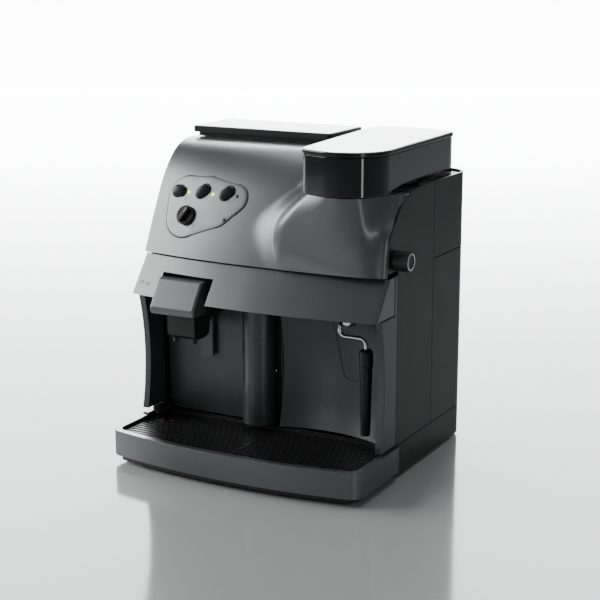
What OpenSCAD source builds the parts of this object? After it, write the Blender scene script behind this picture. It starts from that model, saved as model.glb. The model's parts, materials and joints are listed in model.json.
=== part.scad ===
// Counter-top bean-to-cup coffee machine, an assembly of separate parts.
// Frame: origin on the counter under the middle of the body, +X to the right seen from
// the front, -Y out of the front, +Z up. Millimetres.

/* [Body] */
// Width over the side panels
body_w = 326; // [322:1:330]
// Distance from the origin to the back face
back_y = 151; // [150:1:156]
// Height of the base and of the drip tray rim
base_h = 41; // [40.5:0.5:42]
// Height of the joint between fascia and upper shell
seam_h = 246; // [245.5:0.5:247]
// Height of the cup shelf side of the shell
left_top = 375; // [375:0.5:376]
// Radius of the rear vertical corners
rear_r = 34; // [20:1:36]
// Radius of the bow of the whole front, in plan
bow_r = 800; // [760:10:900]
// Wall thickness of the panels
wall = 3; // [2.5:0.1:3]

/* [Drip tray] */
// Width of the drip tray
tray_w = 334; // [328:1:336]
// Distance from the origin to the middle of the tray front
tray_front = 184; // [180:1:188]
// Radius of the tray's front corners
tray_r = 19; // [12:1:24]
// Number of slats in the grill
slat_count = 15; // [9:1:17]

/* [Service door] */
// Greatest forward reach of the fascia
fascia_reach = 138; // [132:1:140]
// Radius of the grip column
column_r = 20; // [16:1:20]
// Radius of the hinge pins
pin_r = 2.5; // [2:0.1:3]

/* [Controls] */
// Radius of the cup volume knob
volume_r = 12; // [9:0.5:13]
// Radius of the steam knob
steam_r = 12; // [9:0.5:12.5]
// Length of the steam knob outside the body
steam_l = 20.5; // [14:0.5:24]
// Lean of the control panel from upright, in degrees
lean = 26.3; // [26:0.1:26.6]

/* [Hidden] */
$fn = 96;

half = body_w / 2;
bow_y = bow_r - 105;            // y of the vertical axis of the front's bow
gap = 0.4;                      // clearance between neighbouring panels
front_seam = -63;               // y of the joint between front posts and side panels
rear_seam = 37;                 // y of the joint between side and rear panels
right_top = 336;                // height of the deck under the bean hopper
door_low = base_h + 2.5;        // bottom of the service door
door_top = seam_h - 1.5;        // top of the service door
fascia_low = 200.5;             // bottom edge of the fascia
hinge = [-154, -84];            // axis of the service door
SCREWS = [[-120, -30], [120, -30], [-120, 100], [120, 100]];  // bosses of the base
HOOKS = [-130, -62];            // x of the hooks that carry the dregs container
LUGS = [-120, -20];             // x of the tank cover's hinges
grind_at = [98, -12, 0];        // axis of the grinder
panel_y = -60;                  // front of the lower door panel
column_x = -20;                 // centre of the grip column
column_y = -62;
edge_x = 10.5;                  // left edge of the dished panel
head_x = -90.5;                 // centre of the dispensing head
head_w = 61;
knob_at = [-73.5, 264];         // y and z of the steam knob's axis
ball_at = [96, -58, 186];       // centre of the steam pipe's ball
lid_h = 387;                    // top of the hopper lid
cover_h = 389;                  // top of the tank cover
run = 0.05;                     // radial clearance of a running fit
graphite = [0.36, 0.37, 0.38];
satin = [0.20, 0.21, 0.22];
black = [0.07, 0.07, 0.08];

// ---------- shared shapes ----------

// A block between two corners
module block(low, high) { translate(low) cube(high - low); }

// A plate in the YZ plane between two x values
module side_plate(x0, x1, points) {
  translate([x0, 0, 0]) rotate([90, 0, 90]) linear_extrude(x1 - x0) polygon(points);
}

// A profile of (y, z) points at mid width, swept round the front's bow
module bowed(points) {
  intersection() {
    translate([0, bow_y, 0])
      rotate_extrude($fn = 180) polygon([for (p = points) [bow_y - p[0], p[1]]]);
    block([-half, -200, 0], [half, 160, 400]);
  }
}

corner_blend = 0.5;             // how far the round corners reach into the bow

// Plan of a piece with a bowed front and rounded front corners
module bowed_plan(w, front, back, r) {
  side = w / 2 - r;
  corner = bow_r - front - sqrt(pow(bow_r - r, 2) - side * side) - corner_blend;
  intersection() {
    translate([0, bow_r - front]) circle(bow_r, $fn = 240);
    union() {
      translate([-side, -front - 1]) square([2 * side, front + back + 1]);
      translate([-w / 2, corner]) square([w, back - corner]);
      for (s = [-1, 1]) translate([s * side, corner]) circle(r);
    }
  }
}

// Plan of the body with rounded rear corners, from a given front line
module body_plan(front, inset) {
  r = rear_r - inset;
  x = half - inset;
  y = back_y - inset;
  union() {
    translate([-x, front]) square([2 * x, y - r - front]);
    translate([-x + r, front]) square([2 * (x - r), y - front]);
    for (s = [-1, 1]) translate([s * (x - r), y - r]) circle(r);
  }
}

// Plan of the bean hopper: a round nose, straight sides and a bowed back
module hopper_plan(grow) {
  hull() {
    translate([76, -86]) circle(20 + grow);
    translate([104, -66]) circle(48 + grow);
    translate([136, 122]) circle(11 + grow);
    translate([66, 116]) circle(28 + grow);
    translate([92, 124]) circle(22 + grow);
  }
}

// Places things on the leaning control panel: u to the right, v up the slope, w out of it
module on_panel(u, v, w = 0) {
  translate([u, -104, 248]) rotate([90 - lean, 0, 0]) translate([0, v, w]) children();
}

// Egg-shaped outline of the control panel, in u and v
module panel_plan(grow) {
  hull() {
    translate([-111, 54]) circle(30 + grow);
    translate([-118, 77]) circle(26 + grow);
    translate([-88, 72]) circle(31 + grow);
    translate([-70, 64]) circle(26 + grow);
    translate([-46, 76]) circle(18 + grow);
  }
}

// Leaning profile at mid width: height, then distance from the origin's plane
LEAN = [[seam_h + 0.8, -107], [270, -96.5], [298, -83], [327, -68], [346, -55],
  [361, -40], [368, -30], [373.5, -16], [left_top, 0]];

// How far the bowed skin lies out of the control panel's flat plane, at u and v
function skin(u, v) = let (z = 248 + v * cos(lean), y = lookup(z, LEAN))
  (-104 + v * sin(lean) - bow_y + sqrt(pow(bow_y - y, 2) - u * u)) * cos(lean);

// Solid outer form of the upper front: a leaning face with a bulge under the hopper
module upper_form() {
  difference() {
    union() {
      bowed(concat([for (p = LEAN) [p[1], p[0]]],
        [[17, left_top], [17, seam_h + 0.8]]));
      hull() {
        block([14, -104, seam_h + 0.8], [110, 10, seam_h + 2]);
        block([110, -96, seam_h + 0.8], [half, 10, seam_h + 2]);
        block([150, -93, 290], [half, 10, 291]);
        translate([104, -66, right_top - 2.5]) cylinder(2, 46, 46, $fn = 48);
        translate([76, -86, right_top - 2.5]) cylinder(2, 19, 19, $fn = 32);
        block([150, -52, right_top - 1.5], [half, 10, right_top - 0.5]);
      }
    }
    translate([0, 0, right_top - 0.5]) linear_extrude(60) hopper_plan(1.6);
    block([46, -34, right_top - 0.5], [half + 1, 30, 400]);
    block([104, -200, right_top - 0.5], [half + 1, 30, 400]);
    block([-half - 1, 17, 200], [half + 1, 60, 400]);
  }
}

// A rounded bar in u and v, for a push button
module button_plan(length, width) {
  hull() for (s = [-1, 1])
    translate([s * (length - width) / 2, 0]) circle(width / 2, $fn = 48);
}

// A push button from its row of the table: u, v, length, width, turn
module push_button(b) {
  color(black) on_panel(b[0], b[1], skin(b[0], b[1])) rotate([0, 0, b[4]]) {
    translate([0, 0, -1]) linear_extrude(7) button_plan(b[2], b[3]);
    translate([0, 0, -6]) cylinder(5, 3, 3);
  }
}

// Opening in the panel and the shell for a push button
module button_hole(b) {
  on_panel(b[0], b[1], -14) rotate([0, 0, b[4]])
    linear_extrude(30) button_plan(b[2] + 1, b[3] + 1);
}

BUTTONS = [[-128.4, 82, 20, 15, 0], [-92.8, 83, 21, 14, 40], [-57.6, 82, 21, 14, 40]];
LAMPS = [[-113.5, 80.9], [-77.5, 79.6], [-42.6, 79], [-53.3, 49]];
VOLUME_AT = [-109.3, 51.2];

// ---------- housing ----------

module base_pan() {
  color(black) difference() {
    union() {
      translate([0, 0, 4]) linear_extrude(base_h - 4) body_plan(front_seam + 3, 0);
      translate([0, 0, 4]) linear_extrude(5)
        bowed_plan(tray_w - 20, tray_front - 4, front_seam + 10, 14);
    }
    difference() {
      translate([0, 0, 8]) linear_extrude(base_h) body_plan(front_seam + 6, wall);
      for (p = SCREWS) translate(p) cylinder(30, 6, 6);
    }
    for (p = SCREWS) translate([p[0], p[1], 10]) cylinder(40, 1.8, 1.8);
  }
}

module rubber_feet() {
  color([0.05, 0.05, 0.05])
    for (p = [[-130, -138], [130, -138], [-138, 66], [138, 66], [0, 0]])
      translate([p[0], p[1], 0]) cylinder(4, 10, 10);
}

// Skeleton behind the front: shelf, door opening, wall behind the dished panel
module front_frame() {
  color(black) difference() {
    union() {
      block([-half + 4.5, -86.9, seam_h - 0.7], [half - 3.6, -36, seam_h + 2.3]);
      block([edge_x - 3.4, -38, base_h + 0.5], [half - 3.6, -35, seam_h + 1]);
      block([edge_x - 3.4, -56, base_h + 0.5], [edge_x - 0.4, -35, seam_h + 1]);
      block([-half + 3.6, -58, base_h + 0.5], [-half + 6.6, -35, seam_h + 1]);
      block([half - 7.6, -58, base_h + 0.5], [half - 3.6, -38, seam_h + 1]);
      block([-half + 3.6, -38, base_h + 0.5], [-half + 10, -35, seam_h + 1]);
    }
    translate([hinge[0], hinge[1], seam_h - 1]) cylinder(6, pin_r, pin_r);
    block([114, -89, seam_h - 1], [half, -60, seam_h + 5]);
    block([-half, -90, seam_h - 1], [-156.7, -85.9, seam_h + 5]);
  }
}

// Edge of the post at the front: hollowed like the panel beside it
module post_plate(x0, x1, top_y) {
  difference() {
    side_plate(x0, x1, [[-103, base_h + 1.5], [front_seam - gap, base_h + 1.5],
      [front_seam - gap, seam_h - 1], [top_y, seam_h - 1], [top_y, 199], [-108, 199]]);
    translate([x0 - 1, -95 - 300, 118]) rotate([0, 90, 0])
      cylinder(x1 - x0 + 2, 299.5, 299.5, $fn = 200);
  }
}

module front_post_left() {
  color(satin) difference() {
    union() {
      post_plate(-half, -half + 8, -71);
      block([-half, -92, base_h + 1.5], [-147, -68, base_h + 4.5]);
    }
    block([-half - 1, -110, base_h + 4.5], [-140, -71, base_h + 10.5]);
    block([-half + 3.4, -64.4, base_h + 4.5], [-150, -62, seam_h]);
    translate([hinge[0], hinge[1], base_h]) cylinder(6, pin_r, pin_r);
  }
}

module front_post_right() {
  color(satin) post_plate(half - 8, half, -71);
}

SIDE_LOW = [[front_seam, base_h + 0.5], [rear_seam - gap, base_h + 0.5]];

// Everything in front of and above the inner face of the upper shell
module shell_front() {
  difference() {
    union() {
      translate([0, -5, 5]) upper_form();
      block([-half - 1, -120, seam_h + 0.5], [half + 1, -40, seam_h + 6]);
      block([-half - 1, 0, left_top - 6], [half + 1, 17.2, left_top + 6]);
    }
    translate([0, wall + gap, -wall - gap]) upper_form();
  }
}

module side_panel_left() {
  color(black) difference() {
    side_plate(-half, -half + wall, concat(SIDE_LOW, [
      [rear_seam - gap, left_top - wall - gap], [-10, left_top - wall - gap],
      [-86, seam_h + 4.6], [front_seam, seam_h + 4.6]]));
    shell_front();
  }
}

module side_panel_right() {
  color(black) difference() {
    union() {
      side_plate(half - wall, half, concat(SIDE_LOW, [
        [rear_seam - gap, right_top + 3], [0, right_top + 3], [-33.6, right_top], [-50, 330],
        [-60, 322], [-77, 302],
        [-88, 291], [-91, seam_h + 4.6], [front_seam, seam_h + 4.6]]));
      block([half - 9, 0, right_top + 0.4], [half - 2, rear_seam - gap, right_top + 3]);
    }
    intersection() {
      shell_front();
      block([0, -130, 200], [half + 1, -33.6, 400]);
    }
    translate([half - 10, knob_at[0], knob_at[1]]) rotate([0, 90, 0]) cylinder(20, 5, 5);
  }
}

// Rounded rear wall between two heights
module rear_wall(z0, z1) {
  translate([0, 0, z0]) linear_extrude(z1 - z0) difference() {
    body_plan(rear_seam, 0);
    body_plan(rear_seam - 1, wall);
  }
}

module rear_panel_lower() {
  color(black) difference() {
    rear_wall(base_h + 0.5, seam_h);
    for (i = [0:7]) block([40, back_y - 6, 120 + 9 * i], [110, back_y + 1, 124 + 9 * i]);
    block([-113, back_y - 6, 60], [-79, back_y + 1, 84]);
    block([-63, back_y - 6, 58], [-41, back_y + 1, 86]);
  }
}

module rear_panel_upper() {
  color(black) {
    rear_wall(seam_h + 0.6, right_top + 3);
    intersection() {
      rear_wall(right_top + 2.9, left_top - 3.4);
      difference() {
        block([-half, 0, 0], [52, 200, 400]);
        translate([0, 0, 300]) linear_extrude(100) hopper_plan(1);
      }
    }
  }
}

module upper_front_shell() {
  color(graphite) difference() {
    upper_form();
    translate([0, wall, -wall]) upper_form();
    block([-half - 1, -120, 200], [half + 1, 30, seam_h + 1]);
    block([44, -34, seam_h], [half + 1, 18, right_top + 1]);
    block([44, -34, seam_h], [half - wall, 60, 400]);
    on_panel(0, 0, -14) linear_extrude(30) panel_plan(0.3);
  }
}

// Deck of the cup shelf side, with the well that the tank drops into
module top_deck() {
  color(black) difference() {
    block([-half + 3.4, 17.4, left_top - 3], [52, back_y - 3.6, left_top]);
    translate([0, 0, 300]) linear_extrude(100) hopper_plan(1);
    block([-152, 25, 300], [25, 105, 400]);
    translate([0, 0, 300]) linear_extrude(100) difference() {
      translate([-200, 60]) square([150, 120]);
      body_plan(0, 3.4);
    }
  }
}

module hopper_deck() {
  color(black) difference() {
    block([47, -33.4, right_top - 4], [half - 3.4, 146, right_top]);
    translate([grind_at[0], grind_at[1], right_top - 10]) cylinder(20, 24, 24);
    translate([0, 0, 300]) linear_extrude(60) difference() {
      translate([100, 60]) square([100, 120]);
      body_plan(0, 3.4);
    }
  }
}

module control_panel() {
  color(graphite) difference() {
    intersection() {
      difference() {
        translate([0, -0.6, 0.3]) upper_form();
        translate([0, 2.2, -1.1]) upper_form();
      }
      on_panel(0, 0, -16) linear_extrude(34) panel_plan(0);
    }
    for (b = BUTTONS) button_hole(b);
    for (p = LAMPS) on_panel(p[0], p[1], -14) cylinder(30, 2.4, 2.4);
    on_panel(VOLUME_AT[0], VOLUME_AT[1], -14) cylinder(30, 4, 4);
  }
}

module indicator_lamps() {
  color([0.55, 0.9, 0.2]) for (p = LAMPS)
    on_panel(p[0], p[1], skin(p[0], p[1]) - 9) cylinder(10.5, 2.2, 2.2);
}

board_w = -26;                  // depth of the control board behind the panel's plane

// Circuit board with a switch behind each button and the knob's encoder
module control_board() {
  color([0.1, 0.35, 0.18]) {
    on_panel(-88, 66, board_w) translate([-48, -30, 0]) cube([96, 52, 1.6]);
    for (b = BUTTONS) on_panel(b[0], b[1], board_w + 1.6) translate([-4, -4, 0])
      cube([8, 8, skin(b[0], b[1]) - 9 - board_w - 1.6]);
    on_panel(VOLUME_AT[0], VOLUME_AT[1], board_w + 1.6) difference() {
      cylinder(skin(VOLUME_AT[0], VOLUME_AT[1]) - 6.9 - board_w - 1.6, 8, 8);
      translate([0, 0, 1]) cylinder(30, 3 + run, 3 + run);
    }
  }
}

module button_left() { push_button(BUTTONS[0]); }
module button_middle() { push_button(BUTTONS[1]); }
module button_right() { push_button(BUTTONS[2]); }

module volume_knob() {
  color(black) on_panel(VOLUME_AT[0], VOLUME_AT[1], skin(VOLUME_AT[0], VOLUME_AT[1])) {
    translate([0, 0, 2.2]) cylinder(4, volume_r, volume_r);
    translate([0, 0, 6.2]) intersection() {
      cylinder(6, volume_r - 1, volume_r - 2);
      translate([-4, -20, 0]) cube([8, 40, 7]);
    }
    translate([0, 0, -11]) cylinder(14, 3, 3);
  }
}

dish_at = [72, -217];
dish_r = 161;
dish_depth = 12;
dish_z = 119;
dish_h = 78;

// Revolved form whose face is hollow both in plan and in height
module dish(thick) {
  r = dish_r + thick;
  translate(dish_at) rotate_extrude($fn = 160) polygon(concat(
    [[0, dish_z + dish_h], [0, dish_z - dish_h]],
    [for (i = [-6:6]) [r + dish_depth * (1 - i * i / 36), dish_z + i * dish_h / 6]]));
}

PIPE_COVER = [[73, 197], [75, 175], [81, 140], [86, 113], [92, 108], [111, 108],
  [119, 114], [125, 147], [124, 197]];

module cover_prism(grow) {
  translate([0, -20, 0]) rotate([90, 0, 0]) linear_extrude(80)
    offset(delta = grow) polygon(PIPE_COVER);
}

module dished_panel() {
  color(satin) difference() {
    intersection() {
      difference() { dish(3); dish(0); }
      block([edge_x, -100, base_h + 2], [half - 8 - gap, -38.4, 197]);
    }
    cover_prism(0.4);
  }
}

module steam_pipe_cover() {
  color(satin) difference() {
    union() {
      intersection() {
        difference() { dish(3.4); dish(0.4); }
        cover_prism(0);
        block([edge_x, -100, 100], [half - 8, -38.4, 197]);
      }
      translate([ball_at[0], -46, ball_at[2]]) rotate([90, 0, 0]) cylinder(17, 11, 11);
    }
    translate([ball_at[0], -51, ball_at[2]]) rotate([90, 0, 0]) cylinder(20, 8.56, 8.56);
    translate([ball_at[0], -40, ball_at[2]]) rotate([90, 0, 0]) cylinder(26, 4, 4);
  }
}

// ---------- service door ----------

module hinge_pins() {
  color("silver") {
    translate([hinge[0], hinge[1], base_h + 1.5]) cylinder(8.5, pin_r, pin_r);
    translate([hinge[0], hinge[1], seam_h - 14]) cylinder(16.3, pin_r, pin_r);
  }
}

FASCIA = [[-105, door_top], [-fascia_reach, fascia_low]];

module door_fascia() {
  color(graphite) difference() {
    union() {
      bowed([FASCIA[0], FASCIA[1], [-106, fascia_low], [-106, fascia_low + wall],
        [-fascia_reach + 5, fascia_low + wall], [-105 + 4, door_top - wall],
        [-92, door_top - wall], [-92, door_top]]);
      intersection() {
        bowed([FASCIA[0], FASCIA[1], [-40, fascia_low], [-40, door_top]]);
        union() {
          block([-half, -160, 0], [-half + wall, -76, 300]);
          block([half - wall, -160, 0], [half, -73, 300]);
        }
      }
    }
    block([-124.5, -160, 190], [-50, -60, 228]);
    translate([hinge[0], hinge[1], door_top - 10]) cylinder(20, pin_r + 0.4, pin_r + 0.4);
  }
}

// Left panel of the door with the tee rail that the dispensing head runs on
module door_panel() {
  color(satin) difference() {
    union() {
      block([-151, panel_y, door_low], [column_x - column_r - 0.6, panel_y + wall, 203]);
      block([head_x - 5, -66.1, 118], [head_x + 5, panel_y + 0.1, 199]);
      block([head_x - 8.5, -68, 118], [head_x + 8.5, -66, 199]);
    }
    block([-152, panel_y - 1, door_low - 1], [-146, panel_y + wall + 1, door_low + 9]);
  }
}

module grip_column() {
  color(satin) translate([0, 0, door_low]) linear_extrude(199 - door_low) difference() {
    union() {
      translate([column_x, column_y]) circle(column_r);
      translate([column_x - column_r, column_y]) square([2 * column_r, 5]);
    }
    translate([-60, panel_y + wall]) square([80, 30]);
  }
}

// Inner wall of the door with its hinge bosses, container hooks and spout rail
module door_liner() {
  color(black) difference() {
    union() {
      block([-150, -56.8, door_low + 8], [-1, -53.8, door_top - 1]);
      block([-152, -69, fascia_low + 3], [150, -66, door_top - 3]);
      block([-150, -66, fascia_low + 3], [-1, -56.8, fascia_low + 6]);
      block([-150, -66, door_top - 6], [-1, -56.8, door_top - 3]);
      translate([hinge[0], hinge[1], door_top - 14]) cylinder(7, 4.4, 4.4);
      block([hinge[0], hinge[1] - 4, door_top - 13.5], [-146, -66, door_top - 7.5]);
      translate([hinge[0], hinge[1], base_h + 4.8]) cylinder(5.2, 6, 6);
      block([hinge[0], hinge[1] - 5, base_h + 4.8], [-147, hinge[1] + 5, base_h + 10]);
      block([-153, hinge[1], base_h + 4.8], [-147, -53.8, base_h + 10]);
      block([-150, -56.8, base_h + 4.8], [-140, -53.8, door_low + 9]);
      for (x = HOOKS) {
        block([x - 5, -53.8, 104], [x + 5, -48.2, 106]);
        block([x - 5, -50.2, 106], [x + 5, -48.2, 109]);
      }
    }
    translate([hinge[0], hinge[1], base_h + 4]) cylinder(7, pin_r + run, pin_r + run);
    translate([hinge[0], hinge[1], door_top - 15]) cylinder(10, pin_r + run, pin_r + run);
  }
}

// ---------- dispensing head ----------

HEAD_SIDE = [[-116, 225], [-125, 225], [-146, 193], [-144, 185], [-116, 185]];
HEAD_HOLLOW = [[-115, 223], [-123.8, 223], [-143.8, 192.6], [-142, 184], [-115, 184]];

module head_cover() {
  color(graphite) difference() {
    side_plate(head_x - head_w / 2, head_x + head_w / 2, HEAD_SIDE);
    side_plate(head_x - head_w / 2 + 2, head_x + head_w / 2 - 2, HEAD_HOLLOW);
  }
}

module head_block() {
  color(black) difference() {
    union() {
      side_plate(head_x - 19, head_x + 19, [[-125, 184.5], [-125, 157], [-119, 152.5],
        [-100, 152.5], [-92, 156], [-90, 170], [-86, 174.5], [-72, 175.5], [-72, 199],
        [-120, 199], [-120, 184.5]]);
      for (s = [-1, 1]) {
        block([head_x + s * 15 - 4, -73, 176], [head_x + s * 15 + 4, panel_y - 0.6, 198.5]);
        block([head_x + s * 9 - 3.2, -65.4, 176], [head_x + s * 9 + 3.2, panel_y - 0.6, 198.5]);
      }
    }
    for (x = [head_x - 13, head_x + 13]) translate([x, -116, 150]) cylinder(20, 2, 2);
  }
}

module head_nozzles() {
  color(black) for (x = [head_x - 13, head_x + 13]) translate([x, -116, 0]) difference() {
    union() {
      translate([0, 0, 147]) cylinder(5.5, 3.2, 3.8);
      translate([0, 0, 152]) cylinder(8, 1.95, 1.95);
    }
    translate([0, 0, 146]) cylinder(15, 1.2, 1.2);
  }
}

module dregs_container() {
  color([0.12, 0.12, 0.13]) difference() {
    union() {
      block([-143, -47, 54], [-47, 20, 112]);
      for (x = HOOKS) block([x - 7, -53, 107], [x + 7, -47, 112]);
    }
    block([-141, -45, 56], [-49, 18, 113]);
    for (x = HOOKS) block([x - 5.4, -50.6, 106], [x + 5.4, -47.8, 109.5]);
  }
}

// ---------- drip tray ----------

tray_back = front_seam + 1;

module drip_tray() {
  color(black) difference() {
    translate([0, 0, 9.5]) linear_extrude(base_h - 10.5)
      bowed_plan(tray_w - 7, tray_front - 3.5, tray_back, tray_r - 3.5);
    translate([0, 0, 12]) linear_extrude(40)
      bowed_plan(tray_w - 22, tray_front - 11, tray_back - 4, tray_r - 8);
    translate([0, 0, 32]) linear_extrude(20)
      bowed_plan(tray_w - 16, tray_front - 8, tray_back - 2, tray_r - 6);
  }
}

module tray_fascia() {
  color(graphite) difference() {
    translate([0, 0, 10]) linear_extrude(base_h - 10)
      bowed_plan(tray_w, tray_front, tray_back, tray_r);
    translate([0, 0, 9]) linear_extrude(base_h - 9.6)
      bowed_plan(tray_w - 6.8, tray_front - 3.4, tray_back + 5, tray_r - 3.4);
    translate([0, 0, 30]) linear_extrude(20)
      bowed_plan(tray_w - 16, tray_front - 8, tray_back + 5, tray_r - 6);
  }
}

module drip_grill() {
  pitch = (tray_front - 84) / slat_count;
  color(black) translate([0, 0, 33]) linear_extrude(3.5) intersection() {
    bowed_plan(tray_w - 18.6, tray_front - 9.3, tray_back - 3.3, tray_r - 7.5);
    difference() {
      translate([-200, -200]) square([400, 200]);
      difference() {
        for (i = [0:slat_count - 1])
          translate([-tray_w / 2 + 14, -tray_front + 15 + i * pitch])
            square([tray_w - 28, pitch - 3]);
        for (x = [-80, 0, 80]) translate([x - 1.5, -200]) square([3, 150]);
        translate([-130, -90]) circle(8);
      }
      translate([-130, -90]) circle(5.5);
    }
  }
}

module tray_float() {
  color([0.75, 0.08, 0.06]) translate([-130, -90, 0]) {
    translate([0, 0, 13]) cylinder(9, 10, 10);
    translate([0, 0, 22]) cylinder(13, 4, 4);
  }
}

// ---------- steam ----------

ball_r = 6;
gimbal_r = 1.2;                 // radius of the cross pin through the ball
pipe_r = 2.5;
bend_r = 8;
pipe_y = -76;
wand_x = 130;

// Ring that holds the ball and turns in the cover
module ball_seat() {
  color("silver") difference() {
    translate(ball_at) rotate([90, 0, 0]) rotate_extrude() difference() {
      translate([0, -3]) square([8.5, 6]);
      circle(ball_r + run);
    }
    translate([ball_at[0] - 9, ball_at[1], ball_at[2]]) rotate([0, 90, 0])
      cylinder(18, gimbal_r + run, gimbal_r + run);
  }
}

// A right-angle bend of the pipe
module elbow(at, turn) {
  translate(at) rotate(turn) rotate_extrude(angle = 90, $fn = 64)
    translate([bend_r, 0]) circle(pipe_r, $fn = 32);
}

module steam_pipe() {
  low = ball_at[2] - 2 * bend_r - 1;
  color("silver") union() {
    translate(ball_at) rotate([90, 0, 0]) rotate_extrude() intersection() {
      circle(ball_r);
      translate([0, -10]) square([10, 20]);
    }
    translate([ball_at[0] - 8, ball_at[1], ball_at[2]]) rotate([0, 90, 0])
      cylinder(16, gimbal_r, gimbal_r);
    translate([ball_at[0], ball_at[1] - 4, ball_at[2]]) rotate([90, 0, 0])
      cylinder(-pipe_y - bend_r + ball_at[1] - 4, pipe_r, pipe_r);
    elbow([ball_at[0], pipe_y + bend_r, ball_at[2] - bend_r], [90, 0, -90]);
    translate([ball_at[0], pipe_y, low + bend_r]) cylinder(1, pipe_r, pipe_r);
    elbow([ball_at[0] + bend_r, pipe_y, low + bend_r], [90, 180, 0]);
    translate([ball_at[0] + bend_r, pipe_y, low]) rotate([0, 90, 0])
      cylinder(wand_x - ball_at[0] - 2 * bend_r, pipe_r, pipe_r);
    elbow([wand_x - bend_r, pipe_y, low - bend_r], [90, 0, 0]);
    translate([wand_x, pipe_y, 60]) cylinder(low - bend_r - 60, pipe_r, pipe_r);
  }
}

module frother_collar() {
  color(black) difference() {
    translate([wand_x, pipe_y, 137]) union() {
      cylinder(18, 8.2, 8.2);
      translate([0, 0, 18]) cylinder(2.5, 8.2, 5);
    }
    translate([wand_x, pipe_y, 130]) cylinder(40, pipe_r + 0.1, pipe_r + 0.1);
  }
}

module frother_sleeve() {
  color(black) difference() {
    translate([wand_x, pipe_y, 54]) cylinder(82.8, 5.6, 7.6);
    translate([wand_x, pipe_y, 50]) cylinder(90, pipe_r + 0.1, pipe_r + 0.1);
    translate([wand_x, pipe_y, 50]) cylinder(9, 3.6, 3.6);
  }
}

module steam_knob() {
  color(black) difference() {
    translate([half + 0.6, knob_at[0], knob_at[1]]) rotate([0, 90, 0]) union() {
      cylinder(steam_l - 3.6, steam_r - 0.5, steam_r - 0.5);
      translate([0, 0, steam_l - 3.6]) cylinder(3, steam_r, steam_r);
    }
    translate([half, knob_at[0], knob_at[1]]) rotate([0, 90, 0]) cylinder(10, 3, 3);
    translate([half + steam_l - 1.2, knob_at[0], knob_at[1]]) rotate([0, 90, 0])
      cylinder(10, steam_r - 2, steam_r - 2);
  }
}

module knob_ring() {
  color("silver") translate([half + steam_l - 1.2, knob_at[0], knob_at[1]]) rotate([0, 90, 0])
    difference() {
      cylinder(1.2, steam_r - 2, steam_r - 2);
      translate([0, 0, -1]) cylinder(4, steam_r - 3.6, steam_r - 3.6);
    }
}

module valve_spindle() {
  color("silver") translate([half - 18, knob_at[0], knob_at[1]]) rotate([0, 90, 0])
    cylinder(28, 3, 3);
}

module steam_valve() {
  color([0.7, 0.55, 0.25]) difference() {
    union() {
      translate([half - 38, knob_at[0], knob_at[1]]) rotate([0, 90, 0]) cylinder(34, 8.5, 8.5);
      translate([half - 30, knob_at[0], knob_at[1] - 18]) cylinder(14, 4, 4);
      translate([half - 30, knob_at[0], knob_at[1]]) rotate([-90, 0, 0]) cylinder(20, 4, 4);
    }
    translate([half - 20, knob_at[0], knob_at[1]]) rotate([0, 90, 0])
      cylinder(20, 3 + run, 3 + run);
  }
}

// ---------- coffee path ----------

hopper_low = right_top + 0.4;

module bean_hopper() {
  color([0.12, 0.12, 0.13, 0.6]) difference() {
    translate([0, 0, hopper_low]) linear_extrude(380.5 - hopper_low) hopper_plan(0);
    translate([0, 0, hopper_low + 2]) linear_extrude(60) hopper_plan(-2.4);
    translate([grind_at[0], grind_at[1], 300]) cylinder(60, 20, 20);
  }
}

FUNNEL_SIDE = [[-112, 379], [-112, hopper_low + 2.4], [72, hopper_low + 2.4], [122, 368],
  [148, 368], [148, 379]];
FUNNEL_HOLLOW = [[-98, 380], [-98, 362], [-38, 346], [14, 346], [70, 352], [118, 376],
  [136, 376], [136, 380]];

module hopper_funnel() {
  color(black) difference() {
    intersection() {
      translate([0, 0, 300]) linear_extrude(100) hopper_plan(-2.8);
      side_plate(0, 200, FUNNEL_SIDE);
    }
    intersection() {
      translate([0, 0, 300]) linear_extrude(100) hopper_plan(-6);
      side_plate(0, 200, FUNNEL_HOLLOW);
    }
    translate([grind_at[0], grind_at[1], 300]) cylinder(60, 18, 18);
  }
}

module hopper_lid() {
  color([0.75, 0.76, 0.77]) union() {
    translate([0, 0, 381]) linear_extrude(lid_h - 381) hopper_plan(1.5);
    translate([0, 0, 380]) linear_extrude(1.01) hopper_plan(-3.2);
  }
}

module grind_adjuster() {
  color(black) translate(grind_at) {
    translate([0, 0, 326]) cylinder(30, 4, 4);
    translate([0, 0, 352]) cylinder(6, 11, 11);
    translate([-2, -10, 358]) cube([4, 20, 8]);
  }
}

module grinder_housing() {
  color([0.15, 0.15, 0.16]) translate(grind_at) difference() {
    union() {
      translate([0, 0, 296]) cylinder(35, 34, 34);
      translate([0, 0, 331]) cylinder(7, 17.4, 17.4);
      translate([-66, -10, 296]) cube([40, 20, 16]);
    }
    translate([0, 0, 299]) cylinder(19, 28, 28);
    difference() {
      translate([0, 0, 317]) cylinder(22, 14, 14);
      translate([-16, -5.5, 330]) cube([32, 11, 8]);
    }
    translate([0, 0, 329]) cylinder(10, 4 + run, 4 + run);
    translate([-64, -8, 298]) cube([50, 16, 12]);
    translate([0, 0, 290]) cylinder(12, 5, 5);
  }
}

module lower_burr() {
  color("silver") translate(grind_at) {
    translate([0, 0, 304]) cylinder(8, 24, 24);
    translate([0, 0, 312]) cylinder(8, 18, 10);
    translate([0, 0, 292]) cylinder(12, 4, 4);
  }
}

module grinder_motor() {
  color([0.45, 0.46, 0.48]) translate(grind_at) difference() {
    union() {
      translate([0, 0, 254]) cylinder(41, 27, 27);
      translate([0, 0, 251]) cylinder(3, 10, 10);
    }
    translate([0, 0, 284]) cylinder(12, 4 + run, 4 + run);
  }
}

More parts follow.
